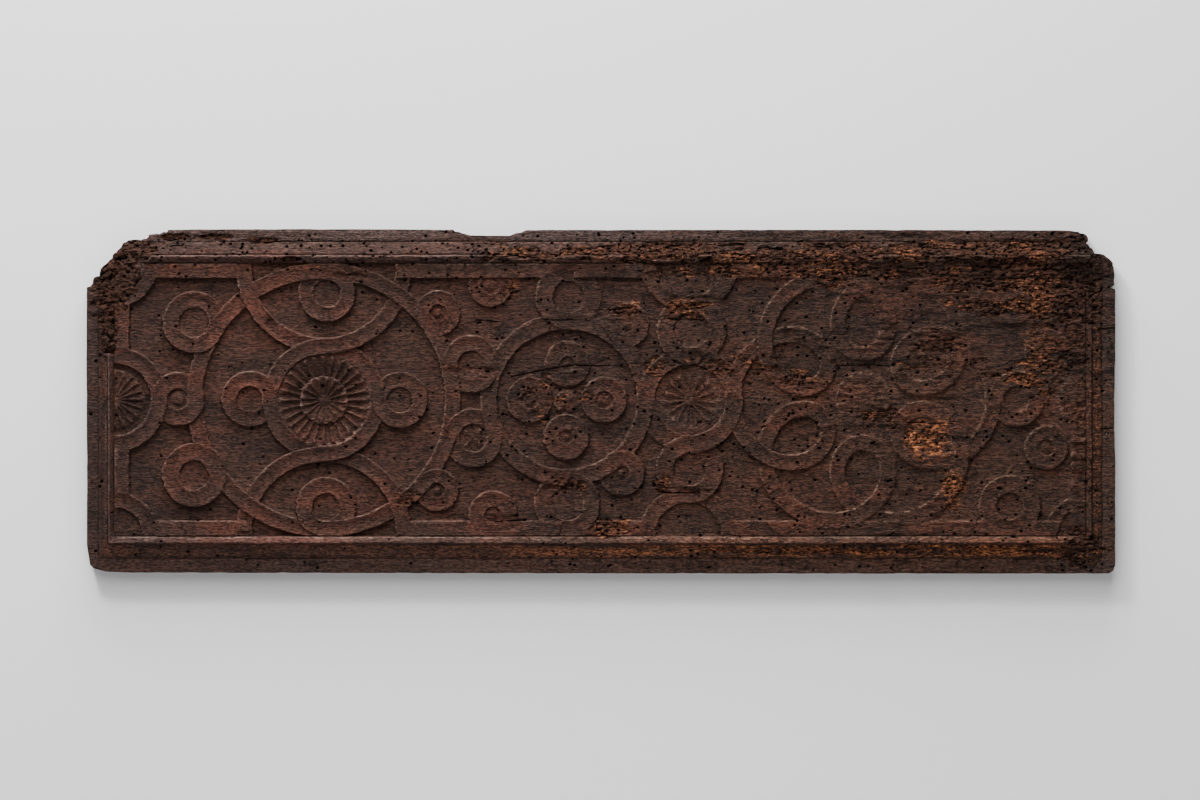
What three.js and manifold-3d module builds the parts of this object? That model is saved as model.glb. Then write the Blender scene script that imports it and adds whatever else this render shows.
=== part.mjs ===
// A carved wooden wall panel: one plank with a moulded edge and knotwork raised from a sunk ground.
// It is drawn as a carver sees it, x to the right, y up and z out of the front, in millimetres.
// The carving is set out from the centre of its field, and the back of the plank lies at z = 0.
import * as THREE from 'three';
import { mergeVertices } from 'three/addons/utils/BufferGeometryUtils.js';
import Module from 'manifold-3d';

const wasm = await Module();
wasm.setup();

// The carved field inside the moulding, and the flat strip that frames it
const FIELD = { halfLength: 485, halfHeight: 136, strip: 15 };

// Widths of the edge moulding on each side, from the plank's edge inwards
const EDGE = {
  left: { tongue: 12, slope: 9, ridge: 7.5 },
  right: { tongue: 13.5, slope: 9, ridge: 7.5 },
  top: { tongue: 13, slope: 12, ridge: 9.5 },
  bottom: { tongue: 15.5, slope: 12.5, ridge: 10 },
};

// Heights above the back: carved bands lie at three levels where they weave over and under
const HEIGHT = { tongue: 17.5, ground: 20, band: 24.4, strip: 24.2, crest: 28.2 };
const WEAVE = 0.8;
const BAND_WIDTH = 16;

// Section of the edge moulding, a slope and a ridge that falls to the field: how far in each corner lies,
// 1 past the tongue, 2 past the slope and 3 past the ridge, and its height above the back
const SECTION = [
  [0, 0], [0, HEIGHT.tongue], [1, HEIGHT.tongue], [1, 18.2], [2, 23.6], [2.08, 22.8],
  [2.2, HEIGHT.crest], [2.36, HEIGHT.crest], [2.9, 23.8], [3, HEIGHT.ground],
];

// How far each raised piece is sunk into the plank to be joined, and the sides of round work
const ROOT = 1.5;
const SIDE_LENGTH = 13;
const FEWEST_SIDES = 13;
const DOME_SIDES = 7;
const DOME_STEPS = 2;

// Knot of the left half: a wide circle, a rosette in it and two straps that cross above and below it
const WIDE_CIRCLE = { at: [-276, -0.5], hole: 121, outer: 137 };
const STRAP_TURN = { round: 53.5, eye: 80, eyeCentre: 134, eyeSweep: 92 };
const STRIP_GAP = { from: -350, to: -202 };

// Knot of the right half: one strap along a curve with six lobes and six inner loops
const LOOPED = { at: [262.5, 1], carrier: 87, arm: 43, lobes: 6, neck: 19.6, touch: 9.5, steps: 12 };

// Rings with an open eye: place of the centre, radius of the hole, outer radius, and the angles in degrees
// where they touch other bands, or a level above the band. hand is -1 where the weave runs the other way.
const OPEN_RINGS = [
  { at: [-406, 77], hole: 14.5, outer: 31, touches: [-31] },
  { at: [-405.5, -75.5], hole: 14.5, outer: 32, level: 0.3 },
  { at: [-350, 0.5], hole: 12.5, outer: 28, touches: [0], hand: -1 },
  { at: [-200, -0.5], hole: 12.5, outer: 28, touches: [180], hand: -1 },
  { at: [-273, 106], hole: 13.5, outer: 28.5, touches: [90] },
  { at: [-274, -107.5], hole: 13.5, outer: 30, touches: [-90] },
  { at: [-129, 35.5], hole: 13, outer: 29, touches: [-20, 194] },
  { at: [-127, -38.5], hole: 13.5, outer: 29.5, touches: [22, 166] },
  { at: [-32, 102.5], hole: 15.5, outer: 33, touches: [-90] },
  { at: [-33, -104.5], hole: 16, outer: 33, touches: [90] },
  { at: [91, 69.5], hole: 17.5, outer: 35, touches: [-90, 90] },
  { at: [89.5, -69.5], hole: 16, outer: 34, touches: [90, -90], hand: -1 },
  { at: [416, 0.5], hole: 12.5, outer: 28, touches: [180, 0] },
  { at: [409, 105.5], hole: 13, outer: 31, level: -2.2 },
  { at: [409, -106.5], hole: 13, outer: 31, level: 0.2 },
];

// Rings closed round a small ball, with the ball's radius
const BALL_RINGS = [
  { at: [-422, 0.5], hole: 10, outer: 27, ball: 7, touches: [0, 180] },
  { at: [-162, 86.5], hole: 8, outer: 22.5, ball: 5, touches: [-142.6] },
  { at: [-163, -90.5], hole: 7, outer: 21.5, ball: 4.5, touches: [141.5] },
  { at: [-110, 114.5], hole: 9, outer: 22, ball: 6, level: -0.6 },
  { at: [-107, -115.5], hole: 8, outer: 24.5, ball: 5, level: 0.3 },
  { at: [-70.5, -0.5], hole: 8.5, outer: 23, ball: 6, level: -0.5 },
  { at: [4, -0.5], hole: 8.5, outer: 23, ball: 6, level: 0.4 },
  { at: [-34, -37.5], hole: 7, outer: 23, ball: 3.5, level: 0.1 },
  { at: [-33, 35.5], hole: 7, outer: 23, ball: 3.5, level: -0.8 },
  { at: [27, 74.5], hole: 7.5, outer: 22, ball: 4.5, touches: [-129] },
  { at: [21.5, -73.5], hole: 7, outer: 23, ball: 4, touches: [127] },
  { at: [447, 47.5], hole: 9, outer: 23, ball: 6, level: -0.9 },
  { at: [445.5, -48], hole: 8, outer: 22, ball: 5.5, level: -0.2 },
];

// Larger circles of the middle, and rings cut by the field's edge into quarters and halves. Where sunk is
// given, the floor of the eye lies only so far below the band, and other eyes are cut down to the ground.
const CIRCLES = [
  WIDE_CIRCLE,
  { at: [-33.2, 0.2], hole: 69.7, outer: 86.5 },
  { at: [90, -0.5], hole: 35, outer: 53, touches: [180, 0] },
];
const EDGE_RINGS = [
  { at: [-485, 136], hole: 28, outer: 44, sunk: 1.6 },
  { at: [-485, -136], hole: 28, outer: 44, sunk: 1.6 },
  { at: [485, 136], hole: 28, outer: 44, level: -1.6, sunk: 1 },
  { at: [485, -136], hole: 28, outer: 41, level: -0.3, sunk: 1.6 },
  { at: [-485, 0], hole: 36, outer: 52.5, level: 0.4 },
  { at: [485, -0.5], hole: 38, outer: 52.5, level: -1.2 },
  { at: [89, 136], hole: 33, outer: 49, level: -0.2, sunk: 1.8 },
  { at: [88, -136], hole: 33, outer: 49, level: -0.2, sunk: 1.8 },
];

// Rosettes of gouged petals: radius, number of petals, height of the rim and of the heart
const ROSETTES = [
  { at: [-276, -0.5], radius: 45, petals: 28, rim: 24.8, heart: 21.4 },
  { at: [-276, -0.5], radius: 23, petals: 16, rim: 24, heart: 21.4 },
  { at: [90, -0.5], radius: 26, petals: 15, rim: 23.8, heart: 21.6 },
  { at: [262.5, 1], radius: 28, petals: 15, rim: 22.4, heart: 23.4 },
  { at: [-485, 0], radius: 30, petals: 20, rim: 23, heart: 24.4 },
  { at: [485, -0.5], radius: 28, petals: 18, rim: 22, heart: 22.6 },
  { at: [-34, -2.5], radius: 11.5, petals: 4, rim: 22.6, heart: 24 },
  { at: [-127, -38.5], radius: 12, petals: 4, rim: 22.4, heart: 23.4 },
];
const PETAL = { notch: 0.94, gouge: 1.3, waist: 0.55 };

// Wood lost from the outline, each piece a corner or length of the edge, drawn round its broken side
const LOST = {
  topLeft: [
    [-520, 180], [-520, 113], [-502, 114.5], [-506.5, 119.5], [-500.5, 124], [-500, 128.5],
    [-494, 135], [-488, 142.5], [-480, 149.5], [-475, 157.5], [-467, 160], [-452.5, 160],
    [-451, 164], [-440, 165.5], [-437, 180],
  ],
  topMiddle: [[-152, 180], [-147, 169.5], [-130, 163.3], [-90, 163.3], [-78, 167], [-72, 180]],
  topRight: [
    [520, 180], [478, 180], [480, 167.5], [486, 164.5], [489, 159.5], [486, 156],
    [492, 151], [495, 146.5], [504, 144.5], [509, 140.5], [512.5, 136.5], [514.2, 123.5], [520, 112],
  ],
  bottomRight: [[520, -180], [520, -165], [515, -165.5], [511, -173], [509, -180]],
  bottomLeft: [
    [-520, -180], [-520, -145], [-513, -145.5], [-510, -165.5], [-506, -169], [-494, -172], [-488, -180],
  ],
};
const TONGUE_HOLE = { at: [506, -33.5], length: 5, height: 3.4 };

const WOOD = { color: 0x3b2822, roughness: 0.72, metalness: 0 };

// A closed geometry as a solid that can be joined and cut
function solidOf(geometry) {
  const bare = geometry.index ? geometry.toNonIndexed() : geometry;
  bare.deleteAttribute('normal');
  bare.deleteAttribute('uv');
  const merged = mergeVertices(bare, 1e-3);
  const corners = [];
  for (let i = 0; i < merged.index.count; i += 3) {
    const [a, b, c] = [0, 1, 2].map((k) => merged.index.getX(i + k));
    if (a !== b && b !== c && c !== a) corners.push(a, b, c);
  }
  return new wasm.Manifold(new wasm.Mesh({
    numProp: 3,
    vertProperties: new Float32Array(merged.attributes.position.array),
    triVerts: new Uint32Array(corners),
  }));
}

// The solid back as a drawable geometry
function geometryOf(solid) {
  const mesh = solid.getMesh();
  const geometry = new THREE.BufferGeometry();
  geometry.setAttribute('position', new THREE.BufferAttribute(mesh.vertProperties, 3));
  geometry.setIndex(new THREE.BufferAttribute(mesh.triVerts, 1));
  geometry.computeVertexNormals();
  return geometry;
}

function joined(solids) {
  return solids.reduce((whole, next) => whole.add(next));
}

// A flat shape raised from one height to another
function prism(shape, from, to, sides = FEWEST_SIDES) {
  const geometry = new THREE.ExtrudeGeometry(shape, {
    depth: to - from, bevelEnabled: false, curveSegments: Math.ceil(sides / 2),
  });
  return solidOf(geometry.translate(0, 0, from));
}

function polygon(points) {
  return new THREE.Shape(points.map(([x, y]) => new THREE.Vector2(x, y)));
}

function rectangle(left, bottom, right, top) {
  return polygon([[left, bottom], [right, bottom], [right, top], [left, top]]);
}

function sidesOf(radius) {
  return Math.max(FEWEST_SIDES, Math.round(2 * Math.PI * radius / SIDE_LENGTH));
}

// Height of a ring at an angle in degrees: past each place where it touches other bands it passes under them,
// and before the next it passes over them
function ringHeight({ level = 0, touches = [], hand = 1 }, angle) {
  if (touches.length === 0) return HEIGHT.band + level;
  const past = touches.map((touch) => THREE.MathUtils.euclideanModulo(angle - touch, 360));
  const since = Math.min(...past);
  const ahead = 360 - Math.max(...past);
  return HEIGHT.band + level - hand * WEAVE * Math.sin(2 * Math.PI * since / (since + ahead));
}

// A ring standing on the ground
function ring(sizes) {
  const [x, y] = sizes.at;
  const { hole, outer } = sizes;
  const sides = sidesOf(outer);
  const angles = Array.from({ length: sides }, (_, i) => 360 * i / sides);
  const points = angles.map((angle) => pointAt(x, y, (hole + outer) / 2, angle));
  return strap(points, angles.map((angle) => ringHeight(sizes, angle)), outer - hole, true);
}

// A ball half sunk in the ground, turned as a low dome
function ball({ at: [x, y], ball: radius, level = 0 }) {
  const base = HEIGHT.ground - ROOT;
  const rise = HEIGHT.band + level - base;
  const profile = [new THREE.Vector2(0, 0)];
  for (let i = 0; i <= DOME_STEPS; i += 1) {
    const turn = (i / DOME_STEPS) * Math.PI / 2;
    profile.push(new THREE.Vector2(radius * Math.cos(turn), rise * (0.45 + 0.55 * Math.sin(turn))));
  }
  profile[profile.length - 1].x = 0;
  profile.splice(1, 0, new THREE.Vector2(radius, 0));
  const dome = new THREE.LatheGeometry(profile, DOME_SIDES).rotateX(Math.PI / 2);
  return solidOf(dome.translate(x, y, base));
}

// A disc of petals: every second side is a ridge, drawn in at the rim, and the sides between are gouged
function rosette({ at: [x, y], radius, petals, rim, heart }) {
  const base = HEIGHT.ground - ROOT;
  const waist = radius * PETAL.waist;
  const outline = [[0, 0], [radius, 0], [radius, rim - base], [waist, heart - base], [0, heart - base]];
  const profile = outline.map(([r, z]) => new THREE.Vector2(r, z));
  const disc = new THREE.LatheGeometry(profile, 2 * petals);
  const place = disc.attributes.position;
  for (let side = 0; side <= 2 * petals; side += 1) {
    for (let step = 1; step < profile.length - 1; step += 1) {
      const vertex = side * profile.length + step;
      const isRidge = side % 2 === 0;
      const isTop = step > 1;
      if (isRidge) {
        place.setX(vertex, place.getX(vertex) * PETAL.notch);
        place.setZ(vertex, place.getZ(vertex) * PETAL.notch);
      } else if (isTop) {
        place.setY(vertex, place.getY(vertex) - PETAL.gouge);
      }
    }
  }
  return solidOf(disc.rotateX(Math.PI / 2).translate(x, y, base));
}

// A band that follows a line of points, with its own height at each of them. A closed one joins its ends.
function strap(points, heights, width = BAND_WIDTH, isClosed = false) {
  const count = points.length;
  const position = [];
  points.forEach((point, i) => {
    const before = isClosed ? points[(i + count - 1) % count] : points[Math.max(i - 1, 0)];
    const after = isClosed ? points[(i + 1) % count] : points[Math.min(i + 1, count - 1)];
    const along = after.clone().sub(before).normalize();
    const side = new THREE.Vector2(-along.y, along.x).multiplyScalar(width / 2);
    const left = point.clone().add(side);
    const right = point.clone().sub(side);
    const foot = HEIGHT.ground - ROOT;
    position.push(left.x, left.y, foot, right.x, right.y, foot);
    position.push(right.x, right.y, heights[i], left.x, left.y, heights[i]);
  });
  const index = [];
  for (let i = 0; i < (isClosed ? count : count - 1); i += 1) {
    const next = 4 * ((i + 1) % count);
    for (let k = 0; k < 4; k += 1) {
      const after = (k + 1) % 4;
      index.push(4 * i + k, next + k, next + after, 4 * i + k, next + after, 4 * i + after);
    }
  }
  if (!isClosed) {
    const last = 4 * (count - 1);
    index.push(0, 1, 2, 0, 2, 3, last, last + 2, last + 1, last, last + 3, last + 2);
  }
  const geometry = new THREE.BufferGeometry();
  geometry.setAttribute('position', new THREE.Float32BufferAttribute(position, 3));
  geometry.setIndex(index);
  return solidOf(geometry);
}

// A point on a circle, angle in degrees
function pointAt(x, y, radius, angle) {
  const turn = THREE.MathUtils.degToRad(angle);
  return new THREE.Vector2(x + radius * Math.cos(turn), y + radius * Math.sin(turn));
}

// Points along part of a circle, angles in degrees
function arc(x, y, radius, from, to) {
  const steps = Math.ceil(Math.abs(THREE.MathUtils.degToRad(to - from)) * radius / SIDE_LENGTH);
  return Array.from({ length: steps + 1 }, (_, i) => pointAt(x, y, radius, from + (to - from) * i / steps));
}

// The value at a place between stops, each with its own value
function valueAt(place, stops, values) {
  const next = stops.findIndex((stop) => stop >= place);
  if (next < 0) return values[values.length - 1];
  if (next === 0) return values[0];
  const share = (place - stops[next - 1]) / (stops[next] - stops[next - 1]);
  return THREE.MathUtils.lerp(values[next - 1], values[next], share);
}

// One of the two straps of the left knot: out of the strip above, round the rosette and into the strip below.
// side is 1 for the strap that passes right of the rosette and -1 for its mirror image. The first goes over
// the wide circle, under the second, over it again below the rosette and under the wide circle at the end.
function crossingStrap(side) {
  const [x, y] = WIDE_CIRCLE.at;
  const { round, eye, eyeCentre, eyeSweep } = STRAP_TURN;
  const above = arc(0, eyeCentre, eye, 270 - eyeSweep, 270);
  const beside = arc(0, 0, round, 90, -90).slice(1);
  const below = arc(0, -eyeCentre, eye, 90, 90 + eyeSweep).slice(1);
  const line = [...above, ...beside, ...below].map((p) => new THREE.Vector2(x + side * p.x, y + p.y));
  const [over, under] = [HEIGHT.band + side * WEAVE, HEIGHT.band - side * WEAVE];
  const rises = [-2.4, -2.05, -1.5, -1, 1, 1.5, 2.05, 2.4].map((rise) => y + rise * round);
  const levels = [HEIGHT.strip, under, under, over, under, over, over, HEIGHT.strip];
  return strap(line, line.map((p) => valueAt(p.y, rises, levels)));
}

// Level of the looped strap, from its turn in degrees past the heart of a loop:
// over and under by turns at the neck and where two loops touch
function loopLevel(turn) {
  const { neck, touch, lobes } = LOOPED;
  const sweep = 180 / lobes;
  return valueAt(turn, [-sweep, -neck, -touch, 0, touch, neck, sweep], [0, 1, -1, 0, 1, -1, 0]);
}

// Half of one loop of the right knot, a little overlong so that it joins the next
function halfLoop(heart, half) {
  const [x, y] = LOOPED.at;
  const overlap = 0.5;
  const sweep = 180 / LOOPED.lobes;
  const points = [];
  const heights = [];
  for (let i = 0; i <= LOOPED.steps; i += 1) {
    const turn = half * (-overlap + (sweep + 2 * overlap) * i / LOOPED.steps);
    const t = THREE.MathUtils.degToRad(heart + turn);
    const inner = (LOOPED.lobes + 1) * t;
    points.push(new THREE.Vector2(
      x + LOOPED.carrier * Math.cos(t) + LOOPED.arm * Math.cos(inner),
      y + LOOPED.carrier * Math.sin(t) + LOOPED.arm * Math.sin(inner),
    ));
    heights.push(HEIGHT.band + WEAVE * loopLevel(turn));
  }
  return strap(points, heights);
}

// The round eye of a ring, as wide as its hole or a little wider, from one height to another
function eye({ at: [x, y], hole }, wider, from, to) {
  const disc = new THREE.Shape().absarc(x, y, hole + wider, 0, 2 * Math.PI, false);
  return prism(disc, from, to, sidesOf(hole));
}

// The strips that frame the field, broken above and below the wide circle and inside the rings at the edge
function strips() {
  const { halfLength: x, halfHeight: y, strip } = FIELD;
  const flat = [
    rectangle(-x, -y, -x + strip, y),
    rectangle(x - strip, -y, x, y),
  ];
  for (const [from, to] of [[-x, STRIP_GAP.from], [STRIP_GAP.to, x]]) {
    flat.push(rectangle(from, y - strip, to, y), rectangle(from, -y, to, -y + strip));
  }
  const frame = joined(flat.map((shape) => prism(shape, HEIGHT.ground - ROOT, HEIGHT.strip)));
  const eyes = EDGE_RINGS.map((sizes) => eye(sizes, 0, 0, 2 * HEIGHT.crest));
  return frame.subtract(joined(eyes));
}

// How far in from the plank's edge a station of the moulding lies
function inset({ tongue, slope, ridge }, station) {
  const clamp = (share) => THREE.MathUtils.clamp(share, 0, 1);
  return tongue * clamp(station) + slope * clamp(station - 1) + ridge * clamp(station - 2);
}

function totalWidth(side) {
  return inset(side, 3);
}

// The plank with its tongue, slope and ridge, as a stack of rectangles joined by mitred faces
function plank() {
  const position = [];
  for (const [station, z] of SECTION) {
    const left = -FIELD.halfLength - totalWidth(EDGE.left) + inset(EDGE.left, station);
    const right = FIELD.halfLength + totalWidth(EDGE.right) - inset(EDGE.right, station);
    const bottom = -FIELD.halfHeight - totalWidth(EDGE.bottom) + inset(EDGE.bottom, station);
    const top = FIELD.halfHeight + totalWidth(EDGE.top) - inset(EDGE.top, station);
    position.push(left, bottom, z, right, bottom, z, right, top, z, left, top, z);
  }
  const index = [0, 2, 1, 0, 3, 2];
  for (let i = 0; i < SECTION.length - 1; i += 1) {
    for (let k = 0; k < 4; k += 1) {
      const [a, b] = [4 * i + k, 4 * i + (k + 1) % 4];
      index.push(a, b, b + 4, a, b + 4, a + 4);
    }
  }
  const last = 4 * (SECTION.length - 1);
  index.push(last, last + 1, last + 2, last, last + 2, last + 3);
  const geometry = new THREE.BufferGeometry();
  geometry.setAttribute('position', new THREE.Float32BufferAttribute(position, 3));
  geometry.setIndex(index);
  return solidOf(geometry);
}

// Everything carved on the field, kept inside its rectangle
function carving() {
  const rings = [...OPEN_RINGS, ...BALL_RINGS, ...CIRCLES, ...EDGE_RINGS].map(ring);
  const floors = EDGE_RINGS.filter(({ sunk }) => sunk > 0).map((sizes) => (
    eye(sizes, BAND_WIDTH / 4, HEIGHT.ground - ROOT, ringHeight(sizes, 0) - sizes.sunk)
  ));
  const loops = [];
  for (let lobe = 0; lobe < LOOPED.lobes; lobe += 1) {
    const heart = (lobe + 0.5) * 360 / LOOPED.lobes;
    loops.push(halfLoop(heart, -1), halfLoop(heart, 1));
  }
  const raised = joined([
    strips(), ...rings, ...floors, ...BALL_RINGS.map(ball), ...ROSETTES.map(rosette),
    crossingStrap(1), crossingStrap(-1), ...loops,
  ]);
  const { halfLength: x, halfHeight: y } = FIELD;
  return raised.intersect(prism(rectangle(-x, -y, x, y), 0, 2 * HEIGHT.crest));
}

// The wood that is gone: broken corners, a length of the top edge and a small hole in the right tongue
function losses() {
  const through = [-ROOT, 2 * HEIGHT.crest];
  const breaks = Object.values(LOST).map((outline) => prism(polygon(outline), ...through));
  const { at: [x, y], length, height } = TONGUE_HOLE;
  const hole = new THREE.Shape().absellipse(x, y, length / 2, height / 2, 0, 2 * Math.PI, false);
  return joined([...breaks, prism(hole, ...through, DOME_SIDES)]);
}

// The finished panel, moved so that the centre of the back is the origin
const outlineCentre = {
  x: (totalWidth(EDGE.right) - totalWidth(EDGE.left)) / 2,
  y: (totalWidth(EDGE.top) - totalWidth(EDGE.bottom)) / 2,
};
const body = geometryOf(plank().add(carving()).subtract(losses()));
const panel = new THREE.Mesh(body, new THREE.MeshStandardMaterial(WOOD));
panel.name = 'carved_panel';
panel.position.set(-outlineCentre.x, -outlineCentre.y, 0);

// Stood upright, with the front facing -Y
const model = new THREE.Group();
model.add(panel);
model.rotation.x = Math.PI / 2;

export default model;
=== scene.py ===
import logging
import math
from dataclasses import dataclass, field
from enum import Enum
from functools import reduce

import bmesh
import bpy
import numpy as np
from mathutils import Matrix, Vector


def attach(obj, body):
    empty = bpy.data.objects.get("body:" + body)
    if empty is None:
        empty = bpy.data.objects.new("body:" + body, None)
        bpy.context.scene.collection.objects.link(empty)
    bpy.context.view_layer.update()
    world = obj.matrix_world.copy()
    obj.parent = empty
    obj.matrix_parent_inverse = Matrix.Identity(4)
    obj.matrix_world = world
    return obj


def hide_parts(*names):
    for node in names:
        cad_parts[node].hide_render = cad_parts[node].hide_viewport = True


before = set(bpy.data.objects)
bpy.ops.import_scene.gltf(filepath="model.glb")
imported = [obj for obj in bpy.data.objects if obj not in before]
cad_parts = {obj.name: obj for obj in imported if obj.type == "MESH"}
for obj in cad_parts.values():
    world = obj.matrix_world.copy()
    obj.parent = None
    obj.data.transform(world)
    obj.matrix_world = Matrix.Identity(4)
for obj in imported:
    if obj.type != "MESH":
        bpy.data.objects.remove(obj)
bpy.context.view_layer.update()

Point = tuple[float, float]
Colour = tuple[float, float, float, float]

LOG = logging.getLogger("carved_panel")
MM = 0.001
NODE = "carved_panel"
PLAIN: Colour = (1.0, 1.0, 1.0, 1.0)


class Motif(Enum):
    """What fills the eye of a carved ring."""

    OPEN = "open"
    BALL = "ball"


@dataclass(frozen=True)
class Ring:
    """A carved ring, in millimetres from the centre of the field.

    Where it touches other bands, at the angles given in degrees, it passes over them on one side
    and under them on the other. Where sunk is given, its eye lies only so far below the band.
    """

    at: Point
    hole: float
    outer: float
    level: float = 0.0
    touches: tuple[float, ...] = ()
    hand: int = 1
    ball: float = 0.0
    motif: Motif = Motif.OPEN
    sunk: float = 0.0


@dataclass(frozen=True)
class Rosette:
    """A disc of gouged petals, in millimetres from the centre of the field."""

    at: Point
    radius: float
    petals: int
    rim: float
    heart: float
    gouge: float
    turn: float = 0.0
    button: float = -1.0


@dataclass(frozen=True)
class Patch:
    """An oval of damage: its centre, half length, half height and strength."""

    at: Point
    half_length: float
    half_height: float
    strength: float


@dataclass(frozen=True)
class Crack:
    """A split along the grain, from one end to the other, with its depth."""

    start: Point
    end: Point
    depth: float


class Noise:
    """Smooth random heights over the plane, the same on every run."""

    def __init__(self, seed: int) -> None:
        """Fills the lattice.

        Args:
            seed: Number that fixes the lattice.
        """
        self.lattice = np.random.default_rng(seed).random((256, 256))

    def at(self, x: np.ndarray, y: np.ndarray) -> np.ndarray:
        """One layer of noise.

        Args:
            x: First coordinate, in lattice steps.
            y: Second coordinate, in lattice steps.

        Returns:
            Values from 0 to 1.
        """
        column = np.floor(x).astype(int)
        row = np.floor(y).astype(int)
        across = smooth(x - column)
        up = smooth(y - row)
        low = self.lattice[row % 256, column % 256] * (1 - across)
        low += self.lattice[row % 256, (column + 1) % 256] * across
        high = self.lattice[(row + 1) % 256, column % 256] * (1 - across)
        high += self.lattice[(row + 1) % 256, (column + 1) % 256] * across
        return low * (1 - up) + high * up

    def layers(self, x: np.ndarray, y: np.ndarray, count: int) -> np.ndarray:
        """Several layers, each half as large and half as strong as the one before.

        Args:
            x: First coordinate, in steps of the largest layer.
            y: Second coordinate, in steps of the largest layer.
            count: Number of layers.

        Returns:
            Values from 0 to 1, mostly near one half.
        """
        total = np.zeros_like(x)
        weight = 0.0
        for layer in range(count):
            share = 0.5**layer
            total += share * self.at(x * 2**layer + 17.3 * layer, y * 2**layer + 9.1 * layer)
            weight += share
        return total / weight


def smooth(share: np.ndarray) -> np.ndarray:
    """Eases a share from 0 to 1 at both ends."""
    held = np.clip(share, 0.0, 1.0)
    return held * held * (3 - 2 * held)


def ramp(value: np.ndarray, low: float, high: float) -> np.ndarray:
    """Eased share of the way from low to high."""
    return smooth((value - low) / (high - low))


@dataclass
class Layout:
    """Where everything is carved, in millimetres from the centre of the field."""

    half_length: float = 485.0
    half_height: float = 136.0
    strip: float = 15.0
    strip_gap: tuple[float, float] = (-350.0, -202.0)
    band: float = 16.0
    edge_left: tuple[float, float, float] = (12.0, 9.0, 7.5)
    edge_right: tuple[float, float, float] = (13.5, 9.0, 7.5)
    edge_top: tuple[float, float, float] = (13.0, 12.0, 9.5)
    edge_bottom: tuple[float, float, float] = (15.5, 12.5, 10.0)
    wide_circle: Ring = Ring((-276, -0.5), 121, 137, 0.0)
    strap_round: float = 53.5
    strap_eye: float = 80.0
    strap_eye_centre: float = 134.0
    strap_eye_sweep: float = 92.0
    looped_at: Point = (262.5, 1.0)
    looped_carrier: float = 87.0
    looped_arm: float = 43.0
    lobes: int = 6
    loop_neck: float = 19.6
    loop_touch: float = 9.5
    rings: tuple[Ring, ...] = (
        Ring((-406, 77), 14.5, 31, 0.0, (-31,)),
        Ring((-405.5, -75.5), 14.5, 32, 0.3),
        Ring((-350, 0.5), 12.5, 28, 0.0, (0,), -1),
        Ring((-200, -0.5), 12.5, 28, 0.0, (180,), -1),
        Ring((-273, 106), 13.5, 28.5, 0.0, (90,)),
        Ring((-274, -107.5), 13.5, 30, 0.0, (-90,)),
        Ring((-129, 35.5), 13, 29, 0.0, (-20, 194)),
        Ring((-127, -38.5), 13.5, 29.5, 0.0, (22, 166)),
        Ring((-32, 102.5), 15.5, 33, 0.0, (-90,)),
        Ring((-33, -104.5), 16, 33, 0.0, (90,)),
        Ring((91, 69.5), 17.5, 35, 0.0, (-90, 90)),
        Ring((89.5, -69.5), 16, 34, 0.0, (90, -90), -1),
        Ring((416, 0.5), 12.5, 28, 0.0, (180, 0)),
        Ring((409, 105.5), 13, 31, -0.6),
        Ring((409, -106.5), 13, 31, 0.2),
        Ring((-422, 0.5), 10, 27, 0.0, (0, 180), 1, 7, Motif.BALL),
        Ring((-162, 86.5), 8, 22.5, 0.0, (-142.6,), 1, 5, Motif.BALL),
        Ring((-163, -90.5), 7, 21.5, 0.0, (141.5,), 1, 4.5, Motif.BALL),
        Ring((-110, 114.5), 9, 22, -0.6, (), 1, 6, Motif.BALL),
        Ring((-107, -115.5), 8, 24.5, 0.3, (), 1, 5, Motif.BALL),
        Ring((-70.5, -0.5), 8.5, 23, -0.5, (), 1, 6, Motif.BALL),
        Ring((4, -0.5), 8.5, 23, 0.4, (), 1, 6, Motif.BALL),
        Ring((-34, -37.5), 7, 23, 0.1, (), 1, 3.5, Motif.BALL),
        Ring((-33, 35.5), 7, 23, -0.8, (), 1, 3.5, Motif.BALL),
        Ring((27, 74.5), 7.5, 22, 0.0, (-129,), 1, 4.5, Motif.BALL),
        Ring((21.5, -73.5), 7, 23, 0.0, (127,), 1, 4, Motif.BALL),
        Ring((447, 47.5), 9, 23, -0.6, (), 1, 6, Motif.BALL),
        Ring((445.5, -48), 8, 22, -0.2, (), 1, 5.5, Motif.BALL),
        Ring((-33.2, 0.2), 69.7, 86.5),
        Ring((90, -0.5), 35, 53, 0.0, (180, 0), sunk=2.8),
    )
    edge_rings: tuple[Ring, ...] = (
        Ring((-485, 136), 28, 44, 0.0, sunk=2.3),
        Ring((-485, -136), 28, 44, 0.0, sunk=2.3),
        Ring((485, 136), 28, 44, -1.0, sunk=1.0),
        Ring((485, -136), 28, 41, -0.3, sunk=2.3),
        Ring((-485, 0), 36, 52.5, 0.45),
        Ring((485, -0.5), 38, 52.5, -1.0),
        Ring((89, 136), 33, 49, -0.2, sunk=2.8),
        Ring((88, -136), 33, 49, -0.2, sunk=2.8),
    )
    rosettes: tuple[Rosette, ...] = (
        Rosette((-276, -0.5), 46, 28, 25.4, 17.0, 2.9),
        Rosette((-276, -0.5), 24, 16, 24.0, 17.6, 2.6, 0.3, 1.4),
        Rosette((90, -0.5), 27, 15, 23.4, 19.4, 2.4, 0.2, 0.6),
        Rosette((262.5, 1), 28, 15, 23.0, 23.8, 2.4),
        Rosette((-485, 0), 30, 20, 23.4, 24.6, 2.6),
        Rosette((485, -0.5), 28, 18, 22.2, 23.0, 1.8),
        Rosette((-34, -2.5), 11.5, 4, 22.8, 24.2, 2.0, 0.5),
        Rosette((-127, -38.5), 12, 4, 23.2, 24.2, 2.4, 0.5),
    )


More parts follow.
